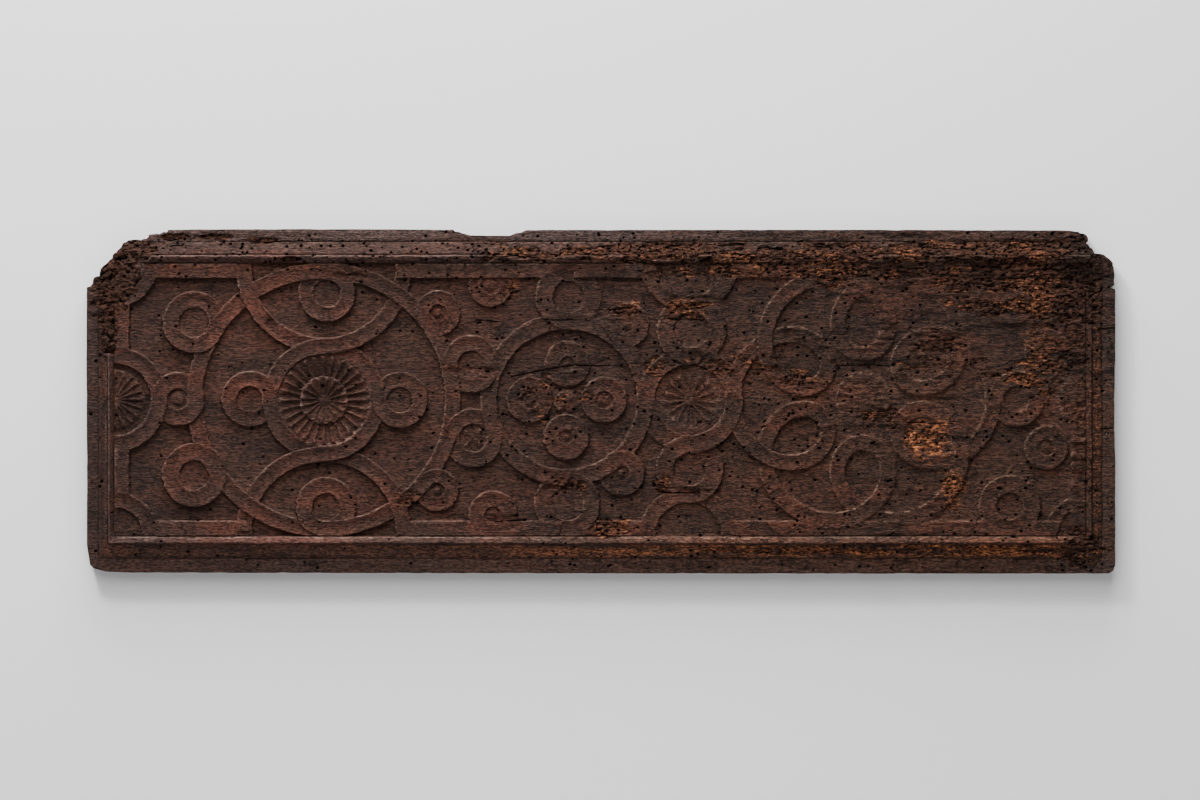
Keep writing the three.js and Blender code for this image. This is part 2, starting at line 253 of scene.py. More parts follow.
@dataclass
class Outline:
    """The plank's edge as it survives, in millimetres from the centre of the field."""

    points: tuple[Point, ...] = (
        (-513, -145.5), (-510, -165.5), (-506, -169), (-494, -172), (-470, -173), (-200, -173.6),
        (200, -174), (509, -174), (513, -171), (515, -165), (515, -62), (514, -30), (514, 0), (515, 40),
        (515, 110.5), (510, 112), (514.6, 114.5), (514.2, 123.5), (512.5, 136.5), (509, 140.5),
        (504, 144.5), (495, 146.5), (492, 151), (486, 156), (489, 159.5), (486, 164.5),
        (480, 168.3), (470, 169.2), (250, 169.8), (-74, 169.6), (-80, 167.5), (-90, 164),
        (-130, 164), (-138, 167), (-147, 170), (-300, 170.5), (-432, 170), (-438, 166.5),
        (-451, 165), (-454, 160.5), (-470, 160.5), (-477, 157), (-480, 151), (-486, 146),
        (-491, 138), (-499, 131), (-501, 124), (-506.5, 122), (-507.5, 117), (-509, 114),
        (-513.2, 113), (-513.5, 40), (-513, -60),
    )
    hole_at: Point = (506, -33.5)
    hole_half: Point = (2.6, 1.7)
    broken_above: float = 100.0
    torn_longest: float = 30.0
    crumb: float = 2.6
    crumb_spread: float = 0.9
    crumb_out: float = 0.4
    notch: float = 9.0
    notch_depth: float = 0.5
    seed: int = 71

    def __post_init__(self) -> None:
        """Breaks the long sides up into small notches and the torn corners into crumbs."""
        draw = np.random.default_rng(self.seed)
        corners = np.array(self.points, float)
        worn = []
        for start, end in zip(corners, np.roll(corners, -1, axis=0)):
            length = np.hypot(*(end - start))
            torn = min(start[1], end[1]) > self.broken_above and length < self.torn_longest
            steps = max(1, round(length / (self.crumb if torn else self.notch)))
            inward = np.array([start[1] - end[1], end[0] - start[0]]) / length
            for step in range(steps):
                if torn:
                    depth = abs(draw.normal(0, self.crumb_spread)) - self.crumb_out
                else:
                    depth = self.notch_depth * draw.random() ** 3
                worn.append(start + (end - start) * step / steps + inward * depth)
        self.worn = np.array(worn)

    def edges(self) -> tuple[np.ndarray, np.ndarray]:
        """Start and end of each side of the worn outline."""
        return self.worn, np.roll(self.worn, -1, axis=0)

    def contains(self, u: np.ndarray, v: np.ndarray) -> np.ndarray:
        """Which points lie inside the outline and outside the hole.

        Args:
            u: Places along the plank.
            v: Places up the plank.

        Returns:
            True where there is wood.
        """
        inside = np.zeros(u.shape, bool)
        for (x0, y0), (x1, y1) in zip(*self.edges()):
            if y0 == y1:
                continue
            crosses = (v < y0) != (v < y1)
            inside[crosses] ^= u[crosses] < x0 + (v[crosses] - y0) * (x1 - x0) / (y1 - y0)
        along = (u - self.hole_at[0]) / self.hole_half[0]
        up = (v - self.hole_at[1]) / self.hole_half[1]
        return inside & (along**2 + up**2 > 1)

    def nearest(self, u: np.ndarray, v: np.ndarray) -> tuple[np.ndarray, np.ndarray, np.ndarray]:
        """Closest place on the outline.

        Args:
            u: Places along the plank.
            v: Places up the plank.

        Returns:
            The place along, the place up and the distance.
        """
        best = np.full(u.shape, np.inf)
        near_u = u.copy()
        near_v = v.copy()
        for (x0, y0), (x1, y1) in zip(*self.edges()):
            span = (x1 - x0) ** 2 + (y1 - y0) ** 2
            share = np.clip(((u - x0) * (x1 - x0) + (v - y0) * (y1 - y0)) / span, 0, 1)
            foot_u = x0 + share * (x1 - x0)
            foot_v = y0 + share * (y1 - y0)
            distance = np.hypot(u - foot_u, v - foot_v)
            closer = distance < best
            best = np.where(closer, distance, best)
            near_u = np.where(closer, foot_u, near_u)
            near_v = np.where(closer, foot_v, near_v)
        return near_u, near_v, best


@dataclass
class Decay:
    """What beetles and wear have taken, in millimetres from the centre of the field."""

    eaten: tuple[Patch, ...] = (
        Patch((-400, 162), 40, 4, 1.1),
        Patch((-335, 159), 14, 3.5, 1.0),
        Patch((-310, 141), 14, 3, 0.9),
        Patch((-480, 150), 36, 20, 1.3),
        Patch((-497, 118), 14, 34, 1.2),
        Patch((-492, 80), 9, 30, 0.7),
        Patch((-80, 147), 45, 10, 1.0),
        Patch((-20, 145), 50, 8, 0.8),
        Patch((75, 146), 75, 12, 1.3),
        Patch((160, 143), 70, 14, 1.3),
        Patch((235, 145), 60, 12, 1.3),
        Patch((235, 118), 18, 9, 1.0),
        Patch((330, 146), 100, 12, 1.3),
        Patch((430, 145), 80, 17, 1.3),
        Patch((300, 128), 130, 7, 0.9),
        Patch((120, 128), 90, 6, 0.7),
        Patch((438, 105), 14, 34, 1.2),
        Patch((390, 118), 70, 10, 0.9),
        Patch((400, 92), 60, 8, 0.8),
        Patch((470, 110), 26, 34, 0.85),
        Patch((470, 60), 24, 30, 0.55),
        Patch((485, 0), 14, 70, 0.22),
        Patch((488, -70), 12, 60, 0.22),
        Patch((480, -150), 24, 16, 0.9),
        Patch((420, 22), 36, 8, 1.1),
        Patch((440, 30), 20, 30, 0.6),
        Patch((328, -40), 22, 19, 0.4),
        Patch((351, -88), 12, 20, 0.6),
        Patch((340, 58), 34, 10, 0.45),
        Patch((330, 35), 30, 8, 0.4),
        Patch((10, -128), 18, 9, 0.9),
        Patch((90, 88), 26, 9, 0.9),
        Patch((25, 88), 16, 6, 1.0),
        Patch((-90, 105), 10, 7, 0.9),
        Patch((-36, -86), 22, 8, 0.8),
        Patch((62, -84), 8, 8, 1.0),
        Patch((300, -150), 240, 5, 0.55),
        Patch((100, 35), 100, 12, 0.35),
        Patch((285, -20), 26, 10, 0.7),
        Patch((200, 20), 18, 10, 0.55),
        Patch((-190, -97), 14, 8, 0.8),
        Patch((-48, 0), 40, 24, 0.35),
    )
    rotted: tuple[Patch, ...] = (
        Patch((-476, 146), 27, 15, 1.0),
        Patch((-490, 112), 19, 36, 1.0),
        Patch((-474, 120), 15, 16, 0.9),
        Patch((-492, 78), 11, 34, 0.7),
        Patch((484, 154), 14, 10, 0.9),
        Patch((500, 136), 13, 16, 0.9),
        Patch((484, 128), 22, 12, 0.8),
        Patch((488, 98), 10, 26, 0.6),
    )
    bare: tuple[Patch, ...] = (
        Patch((328, -41), 25, 25, 1.4),
        Patch((351, -88), 13, 22, 1.1),
        Patch((10, -128), 18, 8, 0.7),
        Patch((-85, 148), 32, 7, 0.8),
        Patch((70, 147), 34, 10, 0.9),
        Patch((154, 138), 18, 14, 0.8),
        Patch((210, 145), 24, 11, 0.8),
        Patch((234, 119), 18, 9, 0.9),
        Patch((438, 105), 12, 32, 0.8),
        Patch((420, 22), 34, 8, 0.8),
        Patch((-85, 120), 7, 12, 0.7),
        Patch((30, 90), 12, 10, 0.8),
        Patch((85, 92), 17, 9, 0.7),
        Patch((478, -154), 26, 9, 0.7),
        Patch((-430, 133), 60, 2, 0.35),
        Patch((-300, 133), 30, 2.5, 0.4),
        Patch((-484, 0), 3, 120, 0.15),
        Patch((445, 48), 26, 26, 0.3),
        Patch((480, 0), 16, 120, 0.06),
    )
    flaked: tuple[Patch, ...] = (
        Patch((-127, 27), 24, 7, 3.4),
        Patch((-30, 28), 24, 9, 4.0),
        Patch((20, 85), 26, 12, 4.0),
        Patch((409, 106), 34, 28, 3.6),
        Patch((94, 96), 30, 9, 2.6),
        Patch((82, -92), 26, 6, 3.2),
        Patch((-40, -96), 26, 12, 2.4),
        Patch((-90, -122), 30, 8, 2.2),
        Patch((230, 60), 46, 9, 2.4),
        Patch((262, 34), 40, 7, 2.6),
        Patch((262, -2), 34, 24, 1.8),
        Patch((205, 62), 24, 20, 1.6),
        Patch((300, 66), 60, 14, 2.0),
        Patch((180, 18), 16, 22, 1.4),
        Patch((320, 24), 34, 8, 2.8),
        Patch((345, 62), 30, 12, 2.6),
        Patch((400, 110), 80, 26, 2.8),
        Patch((455, 60), 34, 40, 2.6),
        Patch((478, 0), 16, 70, 2.2),
        Patch((478, -90), 14, 40, 2.0),
        Patch((385, 30), 16, 26, 2.0),
        Patch((-250, 122), 16, 6, 2.0),
        Patch((-325, 76), 14, 5, 1.8),
    )
    cracks: tuple[Crack, ...] = (
        Crack((-60, 80.5), (-20, 80), 2.4),
        Crack((58, 80.5), (104, 79), 2.4),
        Crack((-126, 80), (-92, 78), 2.4),
        Crack((-95, 22), (-38, 34), 2.6),
        Crack((-40, 34), (15, 33), 2.2),
        Crack((232, 35), (292, 33), 1.6),
        Crack((-106, -121), (-70, -120), 2.6),
        Crack((60, -94), (104, -93), 2.6),
        Crack((498, 71), (520, 71.5), 2.4),
        Crack((499, -29), (520, -28.5), 2.0),
        Crack((499, 112), (520, 112), 2.6),
        Crack((300, -22), (345, -24), 1.8),
        Crack((-350, 157), (-310, 158), 2.4),
        Crack((-430, 153), (-415, 153), 3.0),
    )
    worn_right: Point = (110.0, 330.0)
    worn_right_share: float = 0.5
    worn_top: Point = (60.0, 125.0)
    worn_top_from: Point = (-120.0, 60.0)
    worn_top_share: float = 0.25
    spared_along: Point = (350.0, 390.0)
    spared_up: Point = (-30.0, 10.0)
    spared_share: float = 0.6
    flattened_along: Point = (-190.0, -70.0)
    flattened_share: float = 0.22
    ledge_depth: float = 3.6
    hole_seed: int = 5
    hole_count: int = 1000
    hole_radius: tuple[float, float] = (0.5, 1.2)
    hole_depth: tuple[float, float] = (2.5, 5.0)
    slope_holes: int = 46
    slope_along: tuple[float, float] = (-455.0, -110.0)
    slope_up: tuple[float, float] = (136.0, 156.0)
    tongue_kept: float = 0.85
    tongue_kept_from: Point = (-60.0, 0.0)
    tongue_kept_to: Point = (440.0, 460.0)
    gallery_depth: float = 4.8
    splinter_seed: int = 3
    splinter_count: int = 14000
    splinter_length: tuple[float, float] = (1.2, 4.2)
    splinter_height: tuple[float, float] = (0.6, 1.5)
    splinter_drop: tuple[float, float] = (0.2, 4.2)
    rot_bed: float = 10.0
    rot_swell: float = 8.0
    crumb_seed: int = 8
    crumb_count: int = 1700
    crumb_radius: tuple[float, float] = (1.0, 3.2)
    crumb_rise: tuple[float, float] = (2.0, 9.5)


@dataclass
class Relief:
    """The front of the plank as a grid of heights, in millimetres above the back."""

    layout: Layout = field(default_factory=Layout)
    outline: Outline = field(default_factory=Outline)
    decay: Decay = field(default_factory=Decay)
    step: float = 0.8
    moulding: tuple[Point, ...] = (
        (0, 17.5), (0.92, 17.5), (0.96, 16.6), (1.0, 16.6), (1.05, 18.2), (1.5, 21.1),
        (1.96, 23.6), (2.02, 23.6), (2.06, 22.8), (2.13, 22.9), (2.2, 27.6), (2.28, 28.2),
        (2.4, 27.8), (2.9, 23.8), (2.94, 21.6), (3, 21.6),
    )
    low_side: int = 2
    high_side: int = 3
    low_moulding: tuple[Point, ...] = (
        (0, 17.5), (0.92, 17.5), (0.96, 17.0), (1.0, 17.0), (1.05, 18.2), (1.5, 21.1),
        (1.96, 23.4), (2.1, 24.6), (2.2, 26.6), (2.28, 28.0), (2.4, 27.8), (2.9, 23.8),
        (2.94, 21.6), (3, 21.6),
    )
    tongue_weather: tuple[float, ...] = (0.2, 0.3, 0.3, 0.9)
    # Partly weathering, partly a painted sheen where the slope catches the light.
    slope_weather_and_sheen: tuple[float, ...] = (0.0, 0.1, 0.4, 0.3)
    slope_bare: tuple[float, ...] = (0.05, 0.4, 1.0, 0.0)
    ramp_bare: tuple[float, ...] = (0.0, 0.05, 0.12, 0.2)
    # Partly weathering, partly a painted highlight where the inner ramp catches the light.
    ramp_weather_and_sheen: tuple[float, ...] = (0.0, 0.0, 0.3, 0.7)
    tongue_dirt: tuple[float, ...] = (0.16, 0.0, 0.0, 0.0)
    side_worn: tuple[float, ...] = (0.0, 0.4, 0.0, 0.0)
    crest: float = 28.2
    ground: float = 20.0
    band: float = 24.4
    strip_top: float = 24.4
    strip_level: float = -0.25
    weave: float = 1.0
    hollow: float = 2.0
    wall: float = 1.5
    eye_depth: float = 2.5
    open_eye: float = 3.0
    largest_eye: float = 18.0

    def __post_init__(self) -> None:
        """Lays out the grid and its noise."""
        lay = self.layout
        left = -lay.half_length - sum(lay.edge_left)
        right = lay.half_length + sum(lay.edge_right)
        low = -lay.half_height - sum(lay.edge_bottom)
        high = lay.half_height + sum(lay.edge_top)
        self.box = (left, right, low, high)
        columns = round((right - left) / self.step) + 1
        rows = round((high - low) / self.step) + 1
        self.u, self.v = np.meshgrid(np.linspace(left, right, columns), np.linspace(low, high, rows))
        self.centre = ((left + right) / 2, (low + high) / 2)
        self.grain = Noise(11)
        self.rough = Noise(23)
        self.broad = Noise(37)
        self.carve_u = self.u + 1.9 * (self.grain.at(self.u / 50, self.v / 2.0) - 0.5)
        self.carve_v = self.v + 0.5 * (self.grain.at(self.u / 9, self.v / 9 + 40) - 0.5)
        self.ragged = self.broad.layers(self.u / 14, self.v / 6, 3) - 0.5
        self.height = np.zeros_like(self.u)
        self.level = np.full_like(self.u, -99.0)
        self.pit_and_shade = np.zeros_like(self.u)
        self.decayed = np.zeros_like(self.u)
        self.raw = np.zeros_like(self.u)
        self.ridge = np.zeros_like(self.u)

    def carve(self) -> None:
        """Does all the work, from the moulding to the beetle holes."""
        self.shape_plank()
        self.raise_strips()
        self.raise_bands()
        for rosette in self.layout.rosettes:
            self.raise_rosette(rosette)
        for ring in self.layout.rings:
            if ring.motif is Motif.BALL:
                self.raise_ball(ring)
        self.sound = self.height.copy()
        self.lay_bare()
        self.rub_down()
        self.flake()
        self.eat()
        self.rot()
        self.split()
        self.bore()
        self.crumble_edges()

    def stations(self) -> tuple[np.ndarray, np.ndarray]:
        """How far in from the edge each point lies, and the side that it belongs to.

        Returns:
            1 past the tongue, 2 past the slope and 3 past the ridge, and 0 to 3 for the left, right,
            bottom and top side.
        """
        left, right, low, high = self.box
        lay = self.layout
        sides = (
            (self.u - left, lay.edge_left),
            (right - self.u, lay.edge_right),
            (self.v - low, lay.edge_bottom),
            (high - self.v, lay.edge_top),
        )
        reach = []
        for inward, widths in sides:
            marks = np.concatenate([[0.0], np.cumsum(widths)])
            reach.append(np.interp(inward, marks, [0, 1, 2, 3]))
        wander = 0.12 * (self.broad.layers(self.u / 24, self.v / 24 + 60, 3) - 0.5)
        nearest = np.min(reach, axis=0)
        station = np.where(nearest < 2.9, nearest + wander * np.clip(nearest, 0, 1), nearest)
        return station, np.argmin(reach, axis=0)

    def shape_plank(self) -> None:
        """Tongue, slope, ridge and the sunk ground."""
        station, side = self.stations()
        self.station = station
        self.in_field = station >= 3.0
        moulding = np.interp(station, *zip(*self.moulding))
        low_moulding = np.interp(station, *zip(*self.low_moulding))
        moulding = np.where(side == self.low_side, low_moulding, moulding)
        tongue = self.moulding[0][1]
        moulding -= np.array(self.side_worn)[side] * np.maximum(moulding - tongue, 0)
        tool = 0.7 * (self.broad.layers(self.u / 40, self.v / 22, 2) - 0.5)
        tool += 0.35 * (self.grain.layers(self.u / 34, self.v / 3.2 + 90, 2) - 0.5)
        self.height = np.where(self.in_field, self.ground + tool, moulding)
        on_tongue = station < 1.0
        on_slope = (station >= 1.0) & (station < 2.05)
        self.weathering_and_sheen = on_tongue * np.array(self.tongue_weather)[side]
        self.weathering_and_sheen *= 1 - 0.6 * ramp(self.u, -20, 260) * (side == self.high_side)
        # On the slope and the inner ramp the same share also paints a pale sheen where those faces catch
        # the light.
        self.weathering_and_sheen += on_slope * np.array(self.slope_weather_and_sheen)[side]
        self.pit_and_shade = np.maximum(self.pit_and_shade, on_tongue * np.array(self.tongue_dirt)[side])
        on_ramp = (station >= 2.2) & (station < 2.93)
        self.weathering_and_sheen += on_ramp * np.array(self.ramp_weather_and_sheen)[side]
        self.slope_raw = on_slope * np.array(self.slope_bare)[side] * ramp(station, 0.9, 1.4)
        self.slope_raw += on_ramp * np.array(self.ramp_bare)[side]
        self.slope_raw *= 0.25 + 0.75 * ramp(self.u, -200, 100)

    def lay_band(self, offset: np.ndarray, half: float, level: np.ndarray, limit: np.ndarray) -> None:
        """Raises a hollow band over whatever lies lower.

        Args:
            offset: Distance from the middle of the band.
            half: Half the band's width.
            level: Height of the band above the common level.
            limit: True where the band may be carved.
        """
        cover = np.clip((half + 0.5 * self.wall - offset) / self.wall, 0, 1)
        reach = np.clip(offset / half, 0, 1)
        top = self.band + level - self.hollow * (1 - reach**2)
        paint = limit & (cover > 0) & (level >= self.level)
        raised = self.height + (top - self.height) * smooth(cover)
        self.height = np.where(paint, raised, self.height)
        self.level = np.where(paint & (cover > 0.5), level, self.level)

    def from_centre(self, at: Point) -> np.ndarray:
        """Distance from a place, with the wander of the carver's hand."""
        return np.hypot(self.carve_u - at[0], self.carve_v - at[1])

    def ring_offset(self, ring: Ring) -> tuple[np.ndarray, float]:
        """Distance from the middle of a ring's band, and half its width."""
        radius = self.from_centre(ring.at)
        return np.abs(radius - (ring.hole + ring.outer) / 2), (ring.outer - ring.hole) / 2

    def ring_level(self, ring: Ring) -> np.ndarray:
        """Level of a ring, which weaves over and under where it touches other bands."""
        level = np.full_like(self.u, ring.level)
        turn = np.degrees(np.arctan2(self.v - ring.at[1], self.u - ring.at[0]))
        stops = sorted(angle % 360 for angle in ring.touches)
        for start, end in zip(stops, stops[1:] + stops[:1]):
            gap = (end - start) % 360 or 360
            past = (turn - start) % 360
            wave = -ring.hand * self.weave * np.sin(2 * np.pi * past / gap)
            level = np.where(past < gap, ring.level + wave, level)
        return level

    def raise_strips(self) -> None:
        """The flat strips round the field, broken at the wide circle and inside the rings at the edge."""
        lay = self.layout
        inward_u = lay.half_length - np.abs(self.carve_u)
        inward_v = lay.half_height - np.abs(self.carve_v)
        gap = (self.carve_u > lay.strip_gap[0]) & (self.carve_u < lay.strip_gap[1])
        inward = np.minimum(inward_u, np.where(gap, 99.0, inward_v))
        allowed = self.in_field.copy()
        for ring in lay.edge_rings:
            allowed &= self.from_centre(ring.at) > ring.hole
        cover = np.clip((lay.strip + 0.5 * self.wall - inward) / self.wall, 0, 1)
        top = self.strip_top - 0.5 * smooth(1 - np.abs(inward / lay.strip * 2 - 1))
        self.height = np.where(allowed, self.height + (top - self.height) * smooth(cover), self.height)
        self.level = np.where(allowed & (cover > 0.5), self.strip_level, self.level)

    def raise_bands(self) -> None:
        """Rings, circles and straps, the lowest first."""
        lay = self.layout
        everywhere = self.in_field
        for ring in sorted(lay.rings + lay.edge_rings + (lay.wide_circle,), key=lambda r: r.level):
            offset, half = self.ring_offset(ring)
            self.lay_band(offset, half, self.ring_level(ring), everywhere)
        for ring in lay.rings + lay.edge_rings:
            self.raise_eye(ring)
        for side in (1, -1):
            self.lay_strap(*self.crossing_strap(side))
        for lobe in range(lay.lobes):
            for half in (-1, 1):
                self.lay_strap(*self.half_loop((lobe + 0.5) * 360 / lay.lobes, half))

    def raise_eye(self, ring: Ring) -> None:
        """Lifts the floor of a shallow eye."""
        if ring.hole > self.largest_eye and ring.sunk == 0:
            return
        radius = self.from_centre(ring.at)
        floor = self.band + ring.level - (ring.sunk or self.open_eye)
        in_eye = (radius < ring.hole + 1) & self.in_field
        self.height = np.where(in_eye, np.maximum(self.height, floor), self.height)

    def lay_strap(self, points: np.ndarray, levels: np.ndarray) -> None:
        """Raises a band along a line.

        Args:
            points: Places along the line, close together.
            levels: Height of the band at each place.
        """
        half = self.layout.band / 2
        reach = half + self.wall
        low, high = points.min(axis=0), points.max(axis=0)
        part = self.window(*((low + high) / 2), *((high - low) / 2 + reach))
        part_u = self.carve_u[part]
        part_v = self.carve_v[part]
        offset = np.full_like(self.u, 99.0)
        level = np.zeros_like(self.u)
        best = offset[part]
        held = level[part]
        for i in range(len(points) - 1):
            start, along = points[i], points[i + 1] - points[i]
            share = ((part_u - start[0]) * along[0] + (part_v - start[1]) * along[1]) / (along @ along)
            share = np.clip(share, 0, 1)
            distance = np.hypot(part_u - start[0] - share * along[0], part_v - start[1] - share * along[1])
            closer = distance < best
            best[closer] = distance[closer]
            held[closer] = (levels[i] + share * (levels[i + 1] - levels[i]))[closer]
        self.lay_band(offset, half, level, self.in_field)

    def crossing_strap(self, side: int) -> tuple[np.ndarray, np.ndarray]:
        """One of the two straps of the left knot.

        Args:
            side: 1 for the strap that passes right of the rosette, -1 for its mirror image.

        Returns:
            Places along the strap and the level at each.
        """
        lay = self.layout
        sweep = lay.strap_eye_sweep
        above = self.arc(0, lay.strap_eye_centre, lay.strap_eye, 270 - sweep, 270)
        beside = self.arc(0, 0, lay.strap_round, 90, -90)[1:]
        below = self.arc(0, -lay.strap_eye_centre, lay.strap_eye, 90, 90 + sweep)[1:]
        line = np.concatenate([above, beside, below])
        rise = line[:, 1] / lay.strap_round
        stops = [-2.4, -2.05, -1.5, -1, 1, 1.5, 2.05, 2.4]
        weave = side * self.weave
        strip = self.strip_level
        levels = np.interp(rise, stops, [strip, -weave, -weave, weave, -weave, weave, weave, strip])
        centre = np.array(lay.wide_circle.at)
        return centre + line * np.array([side, 1]), levels

    @staticmethod
    def arc(x: float, y: float, radius: float, start: float, end: float) -> np.ndarray:
        """Places along part of a circle, angles in degrees."""
        steps = int(abs(math.radians(end - start)) * radius / 3) + 2
        turn = np.radians(np.linspace(start, end, steps))
        return np.stack([x + radius * np.cos(turn), y + radius * np.sin(turn)], axis=1)

    def half_loop(self, heart: float, half: int) -> tuple[np.ndarray, np.ndarray]:
        """Half of one loop of the right knot.

        Args:
            heart: Angle of the loop, in degrees.
            half: -1 for the half before the heart of the loop, 1 for the half after it.

        Returns:
            Places along the strap and the level at each.
        """
        lay = self.layout
        sweep = 180 / lay.lobes
        turn = half * np.linspace(0, sweep, 44)
        t = np.radians(heart + turn)
        inner = (lay.lobes + 1) * t
        x = lay.looped_at[0] + lay.looped_carrier * np.cos(t) + lay.looped_arm * np.cos(inner)
        y = lay.looped_at[1] + lay.looped_carrier * np.sin(t) + lay.looped_arm * np.sin(inner)
        stops = [-sweep, -lay.loop_neck, -lay.loop_touch, 0, lay.loop_touch, lay.loop_neck, sweep]
        levels = self.weave * np.interp(turn, stops, [0, 1, -1, 0, 1, -1, 0])
        return np.stack([x, y], axis=1), levels

    def raise_rosette(self, rosette: Rosette) -> None:
        """A disc of petals, gouged between ridges and scalloped at the rim."""
        du = self.carve_u - rosette.at[0]
        dv = self.carve_v - rosette.at[1]
        radius = np.hypot(du, dv)
        petal = (np.arctan2(dv, du) / (2 * np.pi) * rosette.petals + rosette.turn) % 1.0
        scoop = np.sin(np.pi * petal)
        reach = rosette.radius * (0.93 + 0.07 * scoop)
        share = np.clip(radius / rosette.radius, 0, 1)
        depth = rosette.gouge * np.clip(share * 2.2, 0, 1) * scoop**0.8
        top = rosette.heart + (rosette.rim - rosette.heart) * share - depth
        top += rosette.button * np.clip(1.6 - radius / (0.12 * rosette.radius + 1), 0, 1)
        cover = np.clip((reach + 0.5 * self.wall - radius) / self.wall, 0, 1)
        bed = np.where(radius < rosette.radius, rosette.rim - rosette.gouge, 0)
        self.height = np.where(self.in_field, np.maximum(self.height, bed), self.height)
        raised = self.height + (top - self.height) * smooth(cover)
        self.height = np.where(self.in_field & (cover > 0), raised, self.height)
        # Petal ridges and rims, which also take the painted edge highlight.
        crisp = np.clip(1 - 3.2 * scoop, 0, 1) * (share > 0.35) + np.exp(-(((radius - reach) / 0.9) ** 2))
        self.ridge = np.where(self.in_field & (cover > 0), np.clip(crisp, 0, 1), self.ridge)

    def raise_ball(self, ring: Ring) -> None:
        """The small ball in the eye of a ring."""
        radius = self.from_centre(ring.at)
        dome = np.sqrt(np.clip(1 - (radius / ring.ball) ** 2, 0, 1))
        floor = self.band + ring.level - self.eye_depth
        top = floor + (self.eye_depth - 0.2) * dome
        in_eye = (radius < ring.hole) & self.in_field
        self.height = np.where(in_eye, np.maximum(self.height, top), self.height)

    def patch_share(self, patch: Patch, ragged: float) -> np.ndarray:
        """How strongly an oval of damage holds at each point, with a ragged rim."""
        along = (self.u - patch.at[0]) / patch.half_length
        up = (self.v - patch.at[1]) / patch.half_height
        return np.clip(1.15 - along**2 - up**2 + ragged * self.ragged, 0, 1)

    def window(self, u: float, v: float, reach_u: float, reach_v: float) -> tuple[slice, slice]:
        """The part of the grid round a place."""
        left, _, low, _ = self.box
        rows = self.span(v - reach_v - low, v + reach_v - low)
        columns = self.span(u - reach_u - left, u + reach_u - left)
        return rows, columns

    def span(self, first: float, last: float) -> slice:
        """Rows or columns between two distances from the start of the grid."""
        return slice(max(int(first / self.step), 0), int(last / self.step) + 2)

    def damage(self, patches: tuple[Patch, ...], ragged: float) -> np.ndarray:
        """The strongest of several ovals of damage at each point."""
        return reduce(np.maximum, (p.strength * self.patch_share(p, ragged) for p in patches))

    def lay_bare(self) -> None:
        """Marks where the dark surface has worn off and the raw wood shows."""
        speck = self.rough.layers(self.u / 6 + 50, self.v / 2.2, 3)
        self.raw = np.maximum(self.raw, self.damage(self.decay.bare, 1.8) * ramp(speck, 0.36, 0.6))
        streak = self.grain.layers(self.u / 55, self.v / 2.2 + 20, 3)
        self.raw = np.maximum(self.raw, self.slope_raw * ramp(streak, 0.28, 0.62))

    def rub_down(self) -> None:
        """Wears the relief lower and softer, most to the right and along the top."""
        decay = self.decay
        worn = decay.worn_right_share * ramp(self.u, *decay.worn_right)
        worn += decay.worn_top_share * ramp(self.v, *decay.worn_top) * ramp(self.u, *decay.worn_top_from)
        worn *= 1 - decay.spared_share * ramp(self.u, *decay.spared_along) * ramp(-self.v, *decay.spared_up)
        softer = self.height + (self.blurred(self.height, 2) - self.height) * np.clip(1.4 * worn, 0, 1)
        flatter = np.maximum(worn, decay.flattened_share * ramp(self.u, *decay.flattened_along))
        lowered = self.ground + (softer - self.ground) * (1 - flatter)
        ledge = np.floor(7 * self.rough.layers(self.u / 30, self.v / 6, 4)) / 7
        dent = self.rough.layers(self.u / 10, self.v / 4.5, 2)
        self.height = np.where(self.in_field, lowered, self.height)
        self.height += 0.35 * (dent - 0.5) + decay.ledge_depth * worn * (ledge - 0.42)
        # Painted shadow: dark lines along the lower edges of the worn ledges, here and there.
        under = np.maximum(np.diff(ledge, axis=0, append=ledge[-1:]), 0) > 0
        shown = ramp(self.broad.layers(self.u / 12, self.v / 9 + 30, 2), 0.46, 0.56)
        self.pit_and_shade = np.maximum(self.pit_and_shade, under * shown * np.clip(1.6 * worn, 0, 0.75))

    def flake(self) -> None:
        """Takes flakes off the raised work, down towards the ground."""
        torn = self.rough.layers(self.u / 16, self.v / 2.6, 3)
        for patch in self.decay.flaked:
            share = ramp(self.patch_share(patch, 2.2), 0.15, 0.6)
            floor = self.ground - 0.6 + 3.4 * torn
            lowered = np.maximum(np.minimum(self.height, floor), self.height - patch.strength)
            self.height += (lowered - self.height) * share * self.in_field

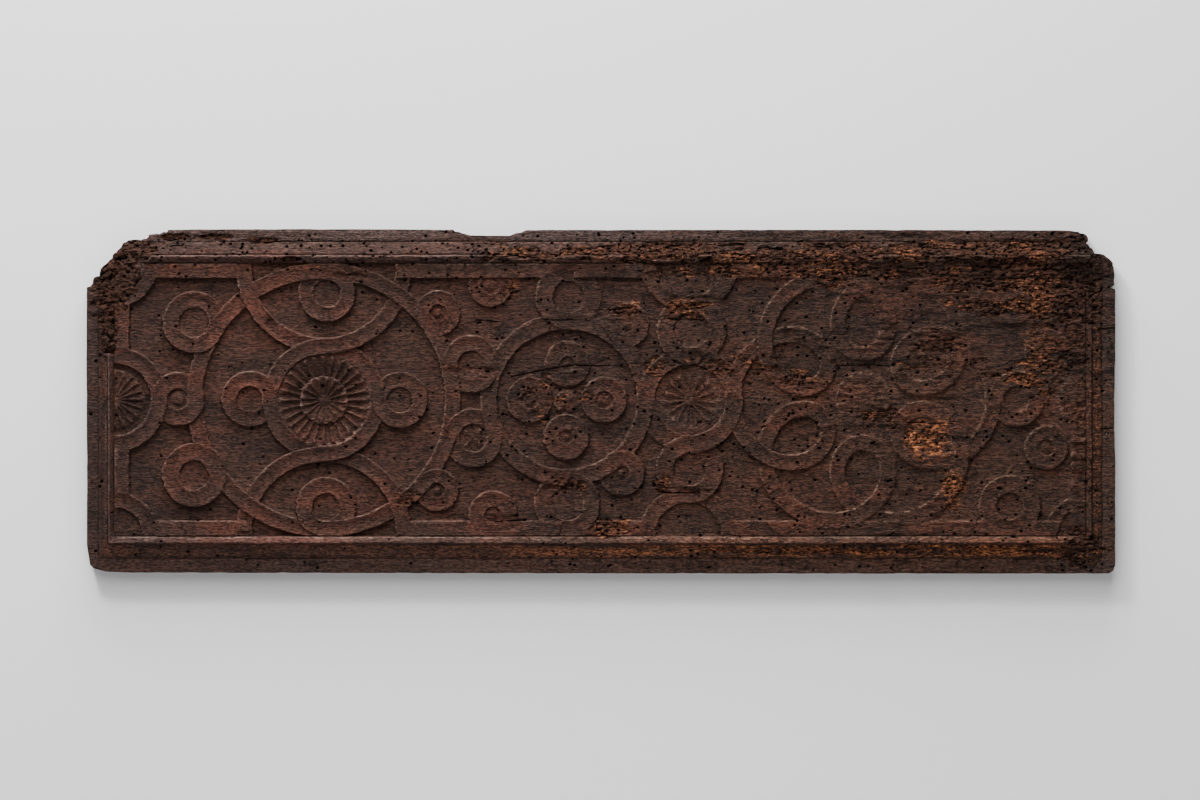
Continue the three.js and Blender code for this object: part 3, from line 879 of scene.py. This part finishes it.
    def eat(self) -> None:
        """Opens the beetles' galleries, and leaves splinters of all lengths standing in them."""
        decay = self.decay
        eaten = self.damage(decay.eaten, 2.8)
        stop, end = decay.tongue_kept_to
        sound_tongue = (self.station < 1.0) * ramp(self.u, *decay.tongue_kept_from)
        sound_tongue *= ramp(-self.u, -end, -stop) * (self.v > self.layout.half_height)
        eaten = np.clip(eaten * (1 - decay.tongue_kept * sound_tongue), 0, 1.2)
        lost = ramp(eaten, 0.5, 0.9)
        self.height += (self.blurred(self.height, 7) - 1.0 - self.height) * lost * (self.station < 3)
        self.weathering_and_sheen = self.weathering_and_sheen * (1 - lost)
        whole = self.height.copy()
        gallery = self.rough.layers(self.u / 6 + 3, self.v / 3.4, 3)
        gone = eaten * ramp(gallery + 0.25 * eaten, 0.5, 0.62)
        self.height -= decay.gallery_depth * gone
        self.decayed = np.clip(eaten, 0, 1)
        fresh = 0.12 + 0.8 * ramp(self.broad.layers(self.u / 26 + 7, self.v / 13, 2), 0.44, 0.62)
        fresh *= (1 - 0.75 * ramp(self.u, 440, 465)) * (0.3 + 0.7 * ramp(self.u, -260, -120))
        fresh = np.maximum(fresh, self.raw * (1 - 0.8 * ramp(self.u, 445, 470)))
        draw = np.random.default_rng(decay.splinter_seed)
        rows, columns = np.nonzero(gone > 0.25)
        for pick in draw.integers(0, len(rows), decay.splinter_count):
            u = self.u[rows[pick], columns[pick]]
            v = self.v[rows[pick], columns[pick]]
            length = draw.uniform(*decay.splinter_length)
            height = draw.uniform(*decay.splinter_height)
            drop = draw.uniform(*decay.splinter_drop)
            raw = draw.random()
            part = self.window(u, v, length, height)
            far = np.hypot((self.u[part] - u) / length, (self.v[part] - v) / height)
            top = whole[part] - drop
            stands = (far < 1) & (top > self.height[part])
            self.height[part] = np.where(stands, top, self.height[part])
            self.raw[part] = np.where(stands, fresh[part] * raw, self.raw[part])
        # Painted shade: darker where the galleries sink below their surroundings.
        sunk = self.blurred(self.height, 2) - self.height
        self.pit_and_shade = np.maximum(self.pit_and_shade, 0.95 * np.clip(eaten, 0, 1) * ramp(sunk, 0.15, 1.2))

    def rot(self) -> None:
        """Leaves only a mass of crumbs where the corners have rotted."""
        decay = self.decay
        share = np.zeros_like(self.u)
        for patch in decay.rotted:
            share = np.maximum(share, patch.strength * ramp(self.patch_share(patch, 1.6), 0.05, 0.35))
        whole = self.height.copy()
        bed = decay.rot_bed + decay.rot_swell * self.broad.layers(self.u / 18, self.v / 14, 2)
        self.height += (np.minimum(whole, bed) - whole) * share
        self.decayed = np.maximum(self.decayed, share)
        draw = np.random.default_rng(decay.crumb_seed)
        rows, columns = np.nonzero(share > 0.3)
        for pick in draw.integers(0, len(rows), decay.crumb_count):
            u = self.u[rows[pick], columns[pick]]
            v = self.v[rows[pick], columns[pick]]
            radius = draw.uniform(*decay.crumb_radius)
            rise = draw.uniform(*decay.crumb_rise)
            raw = draw.random()
            part = self.window(u, v, 1.3 * radius, radius)
            far = np.hypot((self.u[part] - u) / 1.3, self.v[part] - v) / radius
            round_off = 1.3 * radius * (1 - np.sqrt(np.clip(1 - far**2, 0, 1)))
            top = np.minimum(whole[part], bed[part] + rise) - round_off
            stands = (far < 1) & (top > self.height[part])
            self.height[part] = np.where(stands, top, self.height[part])
            self.raw[part] = np.where(stands, 0.12 * raw**3, self.raw[part])
        # Painted shade: darker where the crumbs sink below their neighbours.
        sunk = self.blurred(self.height, 3) - self.height
        self.pit_and_shade = np.maximum(self.pit_and_shade, 0.85 * share * ramp(sunk, 0.4, 3.0))

    def split(self) -> None:
        """Cracks along the grain, wandering a little."""
        wander = 3.0 * (self.broad.layers(self.u / 22, self.u / 90, 3) - 0.5)
        for crack in self.decay.cracks:
            (u0, v0), (u1, v1) = crack.start, crack.end
            share = (self.u - u0) / (u1 - u0)
            line = v0 + (v1 - v0) * share + wander
            ends = np.clip(np.minimum(share, 1 - share) * 8, 0, 1) * (share > 0) * (share < 1)
            width = (0.35 + 0.5 * self.rough.at(self.u / 5, self.v / 40)) * ends
            cut = np.clip(1 - np.abs(self.v - line) / np.maximum(width, 1e-6), 0, 1) * (width > 0)
            self.height -= crack.depth * smooth(cut * 1.6)
            # Painted shade: the split darkened inside.
            self.pit_and_shade = np.maximum(self.pit_and_shade, 0.8 * smooth(cut * 1.4))

    def hole_chance(self, u: np.ndarray, v: np.ndarray) -> np.ndarray:
        """Share of the beetles that bored at a place: most to the right and along the top."""
        right = 0.3 + 0.7 * ramp(u, -230, 170)
        top = ramp(v, 110, 140)
        return np.clip(0.7 * right + 0.7 * top, 0, 1)

    def bore(self) -> None:
        """Flight holes of the beetles."""
        decay = self.decay
        draw = np.random.default_rng(decay.hole_seed)
        left, right, low, high = self.box
        made = 0
        while made < decay.hole_count:
            u = draw.uniform(left + 3, right - 3)
            v = draw.uniform(low + 3, high - 3)
            keep = draw.random()
            radius = draw.uniform(*decay.hole_radius)
            depth = draw.uniform(*decay.hole_depth)
            if keep > self.hole_chance(np.array(u), np.array(v)):
                continue
            made += 1
            self.drill(u, v, radius, depth)
        for _ in range(decay.slope_holes):
            u, v = draw.uniform(*decay.slope_along), draw.uniform(*decay.slope_up)
            self.drill(u, v, draw.uniform(*decay.hole_radius), decay.hole_depth[1])

    def drill(self, u: float, v: float, radius: float, depth: float) -> None:
        """One flight hole."""
        part = self.window(u, v, 2.5, 2.5)
        far = np.hypot((self.u[part] - u) / 1.15, self.v[part] - v)
        share = ramp(radius + 0.4 - far, 0, 0.7)
        self.height[part] -= depth * share
        # Painted shade: the hole darkened inside.
        self.pit_and_shade[part] = np.maximum(self.pit_and_shade[part], share)

    def crumble_edges(self) -> None:
        """Rounds the outer arris, most where the corners are broken."""
        broken = np.maximum(ramp(-self.u, 425, 470), ramp(self.u, 455, 490)) * ramp(self.v, 100, 125)
        near = (self.station < 1.0) | (broken > 0)
        _, _, distance = self.outline.nearest(self.u[near], self.v[near])
        bite = self.rough.layers(self.u[near] / 4, self.v[near] / 3, 2)
        loss = 0.5 + 4.0 * broken[near] * bite
        self.height[near] -= loss * np.exp(-distance / (0.8 + 2.0 * broken[near]))
        self.height = np.clip(self.height, 3.0, self.crest + 0.4)

    def blurred(self, grid: np.ndarray, reach: int) -> np.ndarray:
        """A grid averaged over a square of cells."""
        padded = np.pad(grid, reach, mode="edge")
        total = np.pad(padded.cumsum(0).cumsum(1), ((1, 0), (1, 0)))
        size = 2 * reach + 1
        rows, columns = grid.shape
        window = total[size:, size:] - total[:-size, size:] - total[size:, :-size] + total[:-size, :-size]
        return window[:rows, :columns] / size**2

    def marks(self) -> dict[str, np.ndarray]:
        """What the finish needs to know at each point, from 0 to 1."""
        broad_rise = self.sound - self.blurred(self.sound, 2)
        sharp_rise = self.sound - self.blurred(self.sound, 1)
        rise_v, rise_u = np.gradient(self.blurred(self.sound, 1))
        # Painted highlight: edges that face the light from the upper left take most of the pale edge tint.
        facing_light = np.clip(0.5 + 0.5 * (rise_u - 1.4 * rise_v), 0.15, 1)
        arris = np.clip(np.maximum(sharp_rise / 0.75, self.ridge), 0, 1)
        raised = np.clip((self.sound - self.ground) / (self.band - self.ground), 0, 1)
        return {
            "pit_and_shade": self.pit_and_shade,
            "eaten": self.decayed,
            "raw": self.raw,
            "weathering_and_sheen": self.weathering_and_sheen,
            "raised": raised,
            "arris": arris * facing_light * (1 - self.decayed),
            # Painted shade: marks where the surface lies below its surroundings.
            "hollow": np.clip(-broad_rise / 2.2, 0, 1),
        }


@dataclass
class PanelMesh:
    """The visible panel: the carved front, its edges and a plain back."""

    relief: Relief
    most_triangles: int = 194000
    sharp_angle: float = 48.0
    snap_steps: float = 2.2
    near_hole: float = 6.0
    front_from: float = 2.0

    def build(self) -> bpy.types.Object:
        """Makes the panel's object.

        Returns:
            The panel, in metres, in the frame of the solids.
        """
        mesh = self.closed_mesh()
        piece = bpy.data.objects.new("carved_plank", mesh)
        bpy.context.scene.collection.objects.link(piece)
        self.thin_out(piece)
        self.write_marks(piece.data)
        piece.data.shade_smooth()
        piece.data.set_sharp_from_angle(angle=math.radians(self.sharp_angle))
        return piece

    def closed_mesh(self) -> bpy.types.Mesh:
        """Front grid, side walls and back, as one closed surface."""
        relief = self.relief
        rows, columns = relief.u.shape
        inside = relief.outline.contains(relief.u, relief.v)
        whole = inside[:-1, :-1] & inside[1:, :-1] & inside[:-1, 1:] & inside[1:, 1:]
        number = np.arange(rows * columns).reshape(rows, columns)
        corners = [number[:-1, :-1], number[:-1, 1:], number[1:, 1:], number[1:, :-1]]
        quads = np.stack(corners, axis=-1)[whole]
        used, quads = np.unique(quads, return_inverse=True)
        quads = quads.reshape(-1, 4)
        u = relief.u.ravel()[used]
        v = relief.v.ravel()[used]
        height = relief.height.ravel()[used]
        rim = self.open_edges(quads, len(used))
        on_rim = np.unique(rim)
        u[on_rim], v[on_rim] = self.snapped(u[on_rim], v[on_rim])
        back = np.full(len(used), -1)
        back[on_rim] = len(used) + np.arange(len(on_rim))
        walls = np.stack([rim[:, 1], rim[:, 0], back[rim[:, 0]], back[rim[:, 1]]], axis=1)
        centre_u, centre_v = relief.centre
        front_points = np.stack([u - centre_u, -height, v - centre_v], axis=1)
        back_points = front_points[on_rim] * np.array([1, 0, 1])
        points = np.concatenate([front_points, back_points]) * MM
        mesh = bpy.data.meshes.new("carved_plank")
        mesh.from_pydata(points.tolist(), [], np.concatenate([quads, walls]).tolist())
        self.close_back(mesh, len(used))
        return mesh

    @staticmethod
    def open_edges(quads: np.ndarray, count: int) -> np.ndarray:
        """Directed edges that belong to one cell only."""
        starts = quads.ravel()
        ends = np.roll(quads, -1, axis=1).ravel()
        forward = starts.astype(np.int64) * count + ends
        backward = ends.astype(np.int64) * count + starts
        alone = ~np.isin(forward, backward)
        return np.stack([starts[alone], ends[alone]], axis=1)

    def snapped(self, u: np.ndarray, v: np.ndarray) -> tuple[np.ndarray, np.ndarray]:
        """Moves points at the rim on to the outline, or on to the rim of the hole."""
        outline = self.relief.outline
        near_u, near_v, distance = outline.nearest(u, v)
        close = distance < self.snap_steps * self.relief.step
        hole_u, hole_v = outline.hole_at
        turn = np.arctan2((v - hole_v) / outline.hole_half[1], (u - hole_u) / outline.hole_half[0])
        at_hole = np.hypot(u - hole_u, v - hole_v) < self.near_hole
        out_u = np.where(close, near_u, u)
        out_v = np.where(close, near_v, v)
        out_u = np.where(at_hole, hole_u + outline.hole_half[0] * np.cos(turn), out_u)
        out_v = np.where(at_hole, hole_v + outline.hole_half[1] * np.sin(turn), out_v)
        return out_u, out_v

    @staticmethod
    def close_back(mesh: bpy.types.Mesh, front_count: int) -> None:
        """Fills the flat back between the lower ends of the walls."""
        work = bmesh.new()
        work.from_mesh(mesh)
        edges = [e for e in work.edges if e.is_boundary and min(v.index for v in e.verts) >= front_count]
        made = bmesh.ops.triangle_fill(work, edges=edges, use_beauty=True, normal=(0, 1, 0))
        faces = [g for g in made["geom"] if isinstance(g, bmesh.types.BMFace)]
        for face in faces:
            face.normal_update()
            if face.normal.y < 0:
                face.normal_flip()
        work.to_mesh(mesh)
        work.free()

    def thin_out(self, piece: bpy.types.Object) -> None:
        """Joins triangles where the surface is plain, so that the carving keeps most of them."""
        count = sum(len(p.vertices) - 2 for p in piece.data.polygons)
        thin = piece.modifiers.new("thin_out", "DECIMATE")
        thin.ratio = min(1.0, self.most_triangles / count)
        graph = bpy.context.evaluated_depsgraph_get()
        made = bpy.data.meshes.new_from_object(piece.evaluated_get(graph))
        piece.modifiers.clear()
        piece.data = made
        made.name = "carved_plank"

    def write_marks(self, mesh: bpy.types.Mesh) -> None:
        """Stores the decay, the wear and the painted highlight and shade on the points of the mesh."""
        relief = self.relief
        place = np.zeros(len(mesh.vertices) * 3)
        mesh.vertices.foreach_get("co", place)
        place = place.reshape(-1, 3) / MM
        left, _, low, _ = relief.box
        last_row, last_column = np.array(relief.u.shape) - 1.001
        column = np.clip((place[:, 0] + relief.centre[0] - left) / relief.step, 0, last_column)
        row = np.clip((place[:, 2] + relief.centre[1] - low) / relief.step, 0, last_row)
        c = column.astype(int)
        r = row.astype(int)
        fc = column - c
        fr = row - r
        front = place[:, 1] < -self.front_from
        for name, grid in relief.marks().items():
            value = (grid[r, c] * (1 - fc) + grid[r, c + 1] * fc) * (1 - fr)
            value += (grid[r + 1, c] * (1 - fc) + grid[r + 1, c + 1] * fc) * fr
            store = mesh.attributes.new(name, "FLOAT", "POINT")
            store.data.foreach_set("value", np.where(front, value, 0).astype(np.float32))


class Wire:
    """A shader socket that can be used in sums."""

    def __init__(self, sheet: "NodeSheet", socket: bpy.types.NodeSocket) -> None:
        """Wraps a socket.

        Args:
            sheet: The node sheet that the socket is on.
            socket: An output socket.
        """
        self.sheet = sheet
        self.socket = socket

    def _math(self, operation: str, *values: "Wire | float") -> "Wire":
        """One Math node on these values."""
        return self.sheet.node("ShaderNodeMath", {"operation": operation}, *values)

    def __add__(self, other: "Wire | float") -> "Wire":
        """Sum of two values."""
        return self._math("ADD", self, other)

    __radd__ = __add__

    def __sub__(self, other: "Wire | float") -> "Wire":
        """Difference of two values."""
        return self._math("SUBTRACT", self, other)

    def __rsub__(self, other: "Wire | float") -> "Wire":
        """Difference with this value taken away."""
        return self._math("SUBTRACT", other, self)

    def __mul__(self, other: "Wire | float") -> "Wire":
        """Product of two values."""
        return self._math("MULTIPLY", self, other)

    __rmul__ = __mul__

    def __pow__(self, other: "Wire | float") -> "Wire":
        """This value raised to a power."""
        return self._math("POWER", self, other)

    def between(self, low: float, high: float) -> "Wire":
        """Eased share of the way from low to high."""
        return self.sheet.node(
            "ShaderNodeMapRange",
            {"interpolation_type": "SMOOTHSTEP", "clamp": True},
            self, low, high, 0.0, 1.0,
        )

    def held(self) -> "Wire":
        """This value kept from 0 to 1."""
        return self.sheet.node("ShaderNodeClamp", {}, self, 0.0, 1.0)


class NodeSheet:
    """The node tree of one material."""

    def __init__(self, name: str) -> None:
        """Makes the material.

        Args:
            name: Name of the material.
        """
        self.material = bpy.data.materials.new(name)
        self.material.use_nodes = True
        self.tree = self.material.node_tree
        self.tree.nodes.clear()

    def node(
        self,
        kind: str,
        settings: dict,
        *values: "Wire | float | tuple",
        out: int | str = 0,
        **named: "Wire | float | tuple",
    ) -> Wire:
        """Makes any node.

        Args:
            kind: The node's type.
            settings: The node's own settings, set first.
            values: Values or links of its input sockets, in order.
            out: The output socket to return.
            named: Values or links of input sockets by name, with _ for a space.

        Returns:
            The output, ready for sums.
        """
        made = self.tree.nodes.new(kind)
        for name, value in settings.items():
            setattr(made, name, value)
        slots = [s for s in made.inputs if s.enabled]
        pairs = list(zip(slots, values))
        pairs += [(next(s for s in slots if s.name == k.replace("_", " ")), v) for k, v in named.items()]
        for slot, value in pairs:
            if isinstance(value, Wire):
                self.tree.links.new(value.socket, slot)
            elif value is not None:
                slot.default_value = value
        outs = [s for s in made.outputs if s.enabled]
        chosen = outs[out] if isinstance(out, int) else next(s for s in outs if s.name == out)
        return Wire(self, chosen)

    def show(self, shader: Wire) -> None:
        """Joins a shader to the material's output."""
        output = self.tree.nodes.new("ShaderNodeOutputMaterial")
        self.tree.links.new(shader.socket, output.inputs["Surface"])

    def mix(
        self, share: "Wire | float", first: "Wire | Colour", second: "Wire | Colour", blend: str = "MIX",
    ) -> Wire:
        """Mixes two colours.

        Args:
            share: Share of the second colour.
            first: First colour.
            second: Second colour.
            blend: How they are mixed.

        Returns:
            The mixed colour.
        """
        settings = {"data_type": "RGBA", "blend_type": blend, "clamp_factor": True}
        return self.node("ShaderNodeMix", settings, Factor=share, A=first, B=second)

    def tinted(self, colour: Wire, share: "Wire | float", second: Colour, first: Colour = PLAIN) -> Wire:
        """Multiplies a colour by a mix of two shades.

        Args:
            colour: The colour to change.
            share: Share of the second shade.
            second: The shade at full share.
            first: The shade at no share.

        Returns:
            The tinted colour.
        """
        return self.mix(1.0, colour, self.mix(share, first, second), "MULTIPLY")

    def axis(self, place: Wire, name: str) -> Wire:
        """One coordinate of a place."""
        return self.node("ShaderNodeSeparateXYZ", {}, place, out=name)

    def mark(self, name: str) -> Wire:
        """A value stored on the mesh."""
        return self.node("ShaderNodeAttribute", {"attribute_name": name}, out="Fac")

    def stretched(self, place: Wire, along: float, across: float) -> Wire:
        """Coordinates drawn out along the grain, which runs along the plank."""
        return self.node(
            "ShaderNodeVectorMath", {"operation": "MULTIPLY"}, place, (along, across, across),
        )

    def noise(self, place: Wire, detail: float, roughness: float = 0.55) -> Wire:
        """Noise at scale 1 of these coordinates."""
        return self.node(
            "ShaderNodeTexNoise", {}, Vector=place, Scale=1.0, Detail=detail, Roughness=roughness,
        )


def from_srgb(red: int, green: int, blue: int) -> Colour:
    """A colour picked on screen, as the shader's linear values."""
    def linear(value: int) -> float:
        """One channel as a linear value."""
        share = value / 255
        return share / 12.92 if share <= 0.04045 else ((share + 0.055) / 1.055) ** 2.4
    return linear(red), linear(green), linear(blue), 1.0


@dataclass(frozen=True)
class AgedWood:
    """Old dark wood: dry, grained along the plank, redder where worn and raw where eaten, with painted
    highlights on edges and slopes that face the light and painted shade in hollows and pits.
    """

    deep: Colour = from_srgb(36, 22, 17)
    mid: Colour = from_srgb(54, 34, 26)
    red: Colour = from_srgb(72, 39, 28)
    grey: Colour = from_srgb(68, 52, 44)
    raw: Colour = from_srgb(136, 83, 53)
    raw_deep: Colour = from_srgb(60, 38, 28)
    dark: Colour = from_srgb(13, 8, 6)
    # Pale edge colour: partly rubbed arrises, partly a painted highlight on edges that face the light.
    rubbed_and_lit_edge: Colour = from_srgb(124, 102, 91)
    # Grey-lilac of weathered wood, also used as a painted sheen on slopes that face the light.
    weather_and_sheen: Colour = from_srgb(70, 55, 51)
    # Painted light: raised work towards the left end made lighter, as where the light falls.
    proud_lit: Colour = (1.17, 1.13, 1.18, 1.0)
    dirty_ends: Colour = (0.84, 0.89, 0.93, 1.0)
    open_right: Colour = (1.08, 1.04, 0.95, 1.0)
    # Painted shade: darkens the upper half of the panel.
    upper_shade: Colour = (0.84, 0.86, 0.88, 1.0)
    fleck_low: Colour = (0.27, 0.27, 0.27, 1.0)
    fleck_high: Colour = (1.5, 1.5, 1.5, 1.0)
    specular: float = 0.11
    bump_depth: float = 0.002

    def material(self) -> bpy.types.Material:
        """Builds the wood.

        Returns:
            The material.
        """
        sheet = NodeSheet("aged_wood")
        place = sheet.node("ShaderNodeTexCoord", {}, out="Object")
        broad = sheet.noise(sheet.stretched(place, 5, 42), 3)
        blotch = sheet.noise(sheet.stretched(place, 13, 34), 4)
        streak = sheet.noise(sheet.stretched(place, 26, 420), 4, 0.65)
        fleck = sheet.noise(sheet.stretched(place, 230, 620), 3, 0.7)
        dash = sheet.noise(sheet.stretched(place, 130, 760), 2)
        along = sheet.axis(place, "X")
        up = sheet.axis(place, "Z")
        names = ("pit_and_shade", "eaten", "raw", "weathering_and_sheen", "raised", "arris", "hollow")
        pit_and_shade, eaten, raw_share, weathering_and_sheen, raised, arris, hollow = map(sheet.mark, names)
        checks = self.checks(sheet, place)

        colour = sheet.mix(broad.between(0.25, 0.78), self.deep, self.mid)
        redness = blotch.between(0.4, 0.7) * (0.32 + 0.48 * raised)
        colour = sheet.mix(redness, colour, self.red)
        colour = sheet.mix(streak.between(0.48, 0.7) * 0.25, colour, self.grey)
        # Grey-lilac weathering, with a painted sheen on the slopes and ramps that catch the light.
        silver_and_sheen = weathering_and_sheen * (0.3 + 0.7 * streak.between(0.38, 0.6))
        colour = sheet.mix(silver_and_sheen.held(), colour, self.weather_and_sheen)
        # Painted shade: darker where the surface lies below its surroundings.
        colour = sheet.mix(hollow * 0.1, colour, self.dark)
        ticks = streak.between(0.42, 0.6)
        # Painted highlight, partly rubbed wear: pale tint on arrises and petal ridges facing the upper
        # left, broken into ticks.
        colour = sheet.mix((arris**1.7 * (0.25 + 0.5 * ticks)).held(), colour, self.rubbed_and_lit_edge)
        raw = sheet.mix(fleck.between(0.36, 0.66), self.raw_deep, self.raw)
        colour = sheet.mix((eaten * 0.3).held(), colour, self.raw_deep)
        colour = sheet.mix(raw_share, colour, raw)
        colour = sheet.tinted(colour, fleck.between(0.34, 0.66), self.fleck_high, self.fleck_low)
        # Painted light: raised work towards the left end lighter, as where the light falls.
        colour = sheet.tinted(colour, raised * (1 - eaten) * along.between(-0.1, -0.32), self.proud_lit)
        colour = sheet.tinted(colour, along.between(-0.02, 0.2) * (1 - eaten), self.open_right)
        ends = along.between(-0.42, -0.46) + along.between(0.45, 0.48)
        colour = sheet.tinted(colour, ends, self.dirty_ends)
        # Painted shade: darker over the upper half of the panel, except towards the left end.
        colour = sheet.tinted(colour, up.between(0.0, 0.1) * along.between(-0.2, -0.05), self.upper_shade)
        older = 0.3 + 0.7 * along.between(-0.28, 0.1)
        colour = sheet.mix(dash.between(0.62, 0.7) * older * 0.55, colour, self.dark)
        colour = sheet.mix((checks * 0.55).held(), colour, self.dark)
        # Near black: dirt on the tongue, and painted shade in holes, cracks, sunk galleries and under
        # ledges.
        colour = sheet.mix(pit_and_shade.between(0.05, 0.8), colour, self.dark)

        roughness = (0.6 + 0.14 * streak + 0.25 * eaten + 0.15 * pit_and_shade).held()
        relief = streak * 0.7 + fleck * (1.2 + 0.5 * eaten)
        relief = relief - checks * 0.7 - dash.between(0.6, 0.7) * 0.5
        normal = sheet.node("ShaderNodeBump", {}, Strength=1.0, Distance=self.bump_depth, Height=relief)
        shader = sheet.node(
            "ShaderNodeBsdfPrincipled", {},
            Base_Color=colour, Roughness=roughness, Normal=normal, Specular_IOR_Level=self.specular,
        )
        sheet.show(shader)
        return sheet.material

    @staticmethod
    def checks(sheet: NodeSheet, place: Wire) -> Wire:
        """Fine drying cracks, a net that shows only here and there.

        Args:
            sheet: The node sheet to build on.
            place: Coordinates on the object.

        Returns:
            1 in a crack and 0 elsewhere.
        """
        bend = sheet.node("ShaderNodeTexNoise", {}, Vector=place, Scale=160.0, Detail=2.0, out="Color")
        warped = sheet.node(
            "ShaderNodeVectorMath", {"operation": "MULTIPLY_ADD"},
            bend, (0.9, 0.9, 0.9), sheet.stretched(place, 42, 150),
        )
        edge = sheet.node(
            "ShaderNodeTexVoronoi", {"feature": "DISTANCE_TO_EDGE"},
            Vector=warped, Scale=1.0, out="Distance",
        )
        shown = sheet.node("ShaderNodeTexNoise", {}, Vector=place, Scale=45.0, Detail=2.0)
        along = sheet.axis(place, "X")
        return edge.between(0.06, 0.015) * (shown + 0.12 * along.between(-0.3, 0.2)).between(0.55, 0.65)


@dataclass(frozen=True)
class Lamp:
    """A soft rectangular light that looks at a point."""

    name: str
    place: tuple[float, float, float]
    size: Point
    power: float
    colour: tuple[float, float, float] = (1.0, 0.99, 0.985)
    target: tuple[float, float, float] = (0.0, 0.0, 0.0)

    def build(self) -> None:
        """Puts the lamp in the scene."""
        data = bpy.data.lights.new(self.name, "AREA")
        data.shape = "RECTANGLE"
        data.size, data.size_y = self.size
        data.energy = self.power
        data.color = self.colour
        lamp = bpy.data.objects.new(self.name, data)
        lamp.location = self.place
        towards = Vector(self.target) - Vector(self.place)
        lamp.rotation_euler = towards.to_track_quat("-Z", "Y").to_euler()
        bpy.context.scene.collection.objects.link(lamp)


@dataclass
class Studio:
    """Pale sweep, soft lights and the camera."""

    wall_gap: float = 0.004
    wall_half: float = 2.2
    wall_top: float = 1.6
    floor_below: float = 2.8
    floor_front: float = -9.0
    bend: float = 0.5
    bend_steps: int = 12
    paint: Colour = from_srgb(215, 216, 219)
    lamps: tuple[Lamp, ...] = (
        Lamp("canopy", (-0.5, -1.5, 2.3), (2.6, 2.4), 140, target=(-0.5, -1.4, 0)),
        Lamp("key", (-1.1, -1.6, 2.2), (0.5, 0.5), 80),
        Lamp("top", (-0.1, -0.5, 2.2), (2.4, 0.7), 110),
        Lamp("front", (-0.7, -3.0, 1.4), (2.0, 1.6), 62),
        Lamp("bounce", (0.2, -2.0, -1.0), (2.4, 0.8), 14, (1.0, 0.96, 0.92)),
        Lamp("fill", (0.6, -3.6, 0.4), (2.4, 2.4), 5, (1.0, 0.99, 0.98)),
        Lamp("back", (0.6, 2.4, 1.2), (2.0, 2.0), 220, (1.0, 1.0, 1.0)),
    )
    room_colour: Colour = (1.0, 0.99, 0.98, 1.0)
    room_strength: float = 0.05
    lens: float = 200.0
    sensor: float = 36.0
    frame_width: float = 1.2
    photo_size: tuple[int, int] = (1200, 800)
    photo_centre: Point = (600.9, 401.3)
    face: float = -0.014

    def build(self) -> None:
        """Sets up everything round the panel."""
        self.sweep()
        self.lights()
        self.camera()

    def sweep(self) -> None:
        """A backdrop that bends into the floor, seen only from its front."""
        profile = [(self.wall_gap, self.wall_top)]
        for i in range(self.bend_steps + 1):
            turn = math.radians(90 * i / self.bend_steps)
            y = self.wall_gap - self.bend * (1 - math.cos(turn))
            z = -self.floor_below + self.bend * (1 - math.sin(turn))
            profile.append((y, z))
        profile.append((self.floor_front, -self.floor_below))
        points = [(side * self.wall_half, y, z) for y, z in profile for side in (-1, 1)]
        faces = [(2 * i, 2 * i + 2, 2 * i + 3, 2 * i + 1) for i in range(len(profile) - 1)]
        mesh = bpy.data.meshes.new("sweep")
        mesh.from_pydata(points, [], faces)
        mesh.shade_smooth()
        sweep = bpy.data.objects.new("sweep", mesh)
        bpy.context.scene.collection.objects.link(sweep)
        sweep.visible_shadow = False
        sheet = NodeSheet("pale_sweep")
        facing = sheet.node("ShaderNodeNewGeometry", {}, out="Backfacing")
        paint = sheet.node("ShaderNodeBsdfDiffuse", {}, Color=self.paint)
        clear = sheet.node("ShaderNodeBsdfTransparent", {})
        shown = sheet.node("ShaderNodeMixShader", {}, facing, paint, clear)
        sheet.show(shown)
        mesh.materials.append(sheet.material)

    def lights(self) -> None:
        """Soft lights from above and the left, weak fills and a light for the back."""
        for lamp in self.lamps:
            lamp.build()
        world = bpy.data.worlds.new("soft_room")
        world.use_nodes = True
        background = world.node_tree.nodes["Background"]
        background.inputs["Color"].default_value = self.room_colour
        background.inputs["Strength"].default_value = self.room_strength
        bpy.context.scene.world = world

    def camera(self) -> None:
        """The photograph's frontal view."""
        data = bpy.data.cameras.new("camera")
        data.lens = self.lens
        data.sensor_width = self.sensor
        camera = bpy.data.objects.new("camera", data)
        per_pixel = self.frame_width / self.photo_size[0]
        across = (self.photo_size[0] / 2 - self.photo_centre[0]) * per_pixel
        up = (self.photo_centre[1] - self.photo_size[1] / 2) * per_pixel
        distance = self.frame_width * self.lens / self.sensor
        camera.location = (across, self.face - distance, up)
        camera.rotation_euler = (math.radians(90), 0, 0)
        bpy.context.scene.collection.objects.link(camera)
        bpy.context.scene.camera = camera


def main() -> None:
    """Builds the panel and the studio in order."""
    logging.basicConfig(level=logging.INFO)
    relief = Relief()
    relief.carve()
    LOG.info("relief of %d by %d points", *relief.u.shape[::-1])
    panel = PanelMesh(relief).build()
    panel.data.materials.append(AgedWood().material())
    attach(panel, "root")
    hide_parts(NODE)
    LOG.info("%s: %d faces", panel.name, len(panel.data.polygons))
    Studio().build()
    LOG.info("studio in place")


if __name__ == "__main__":
    main()
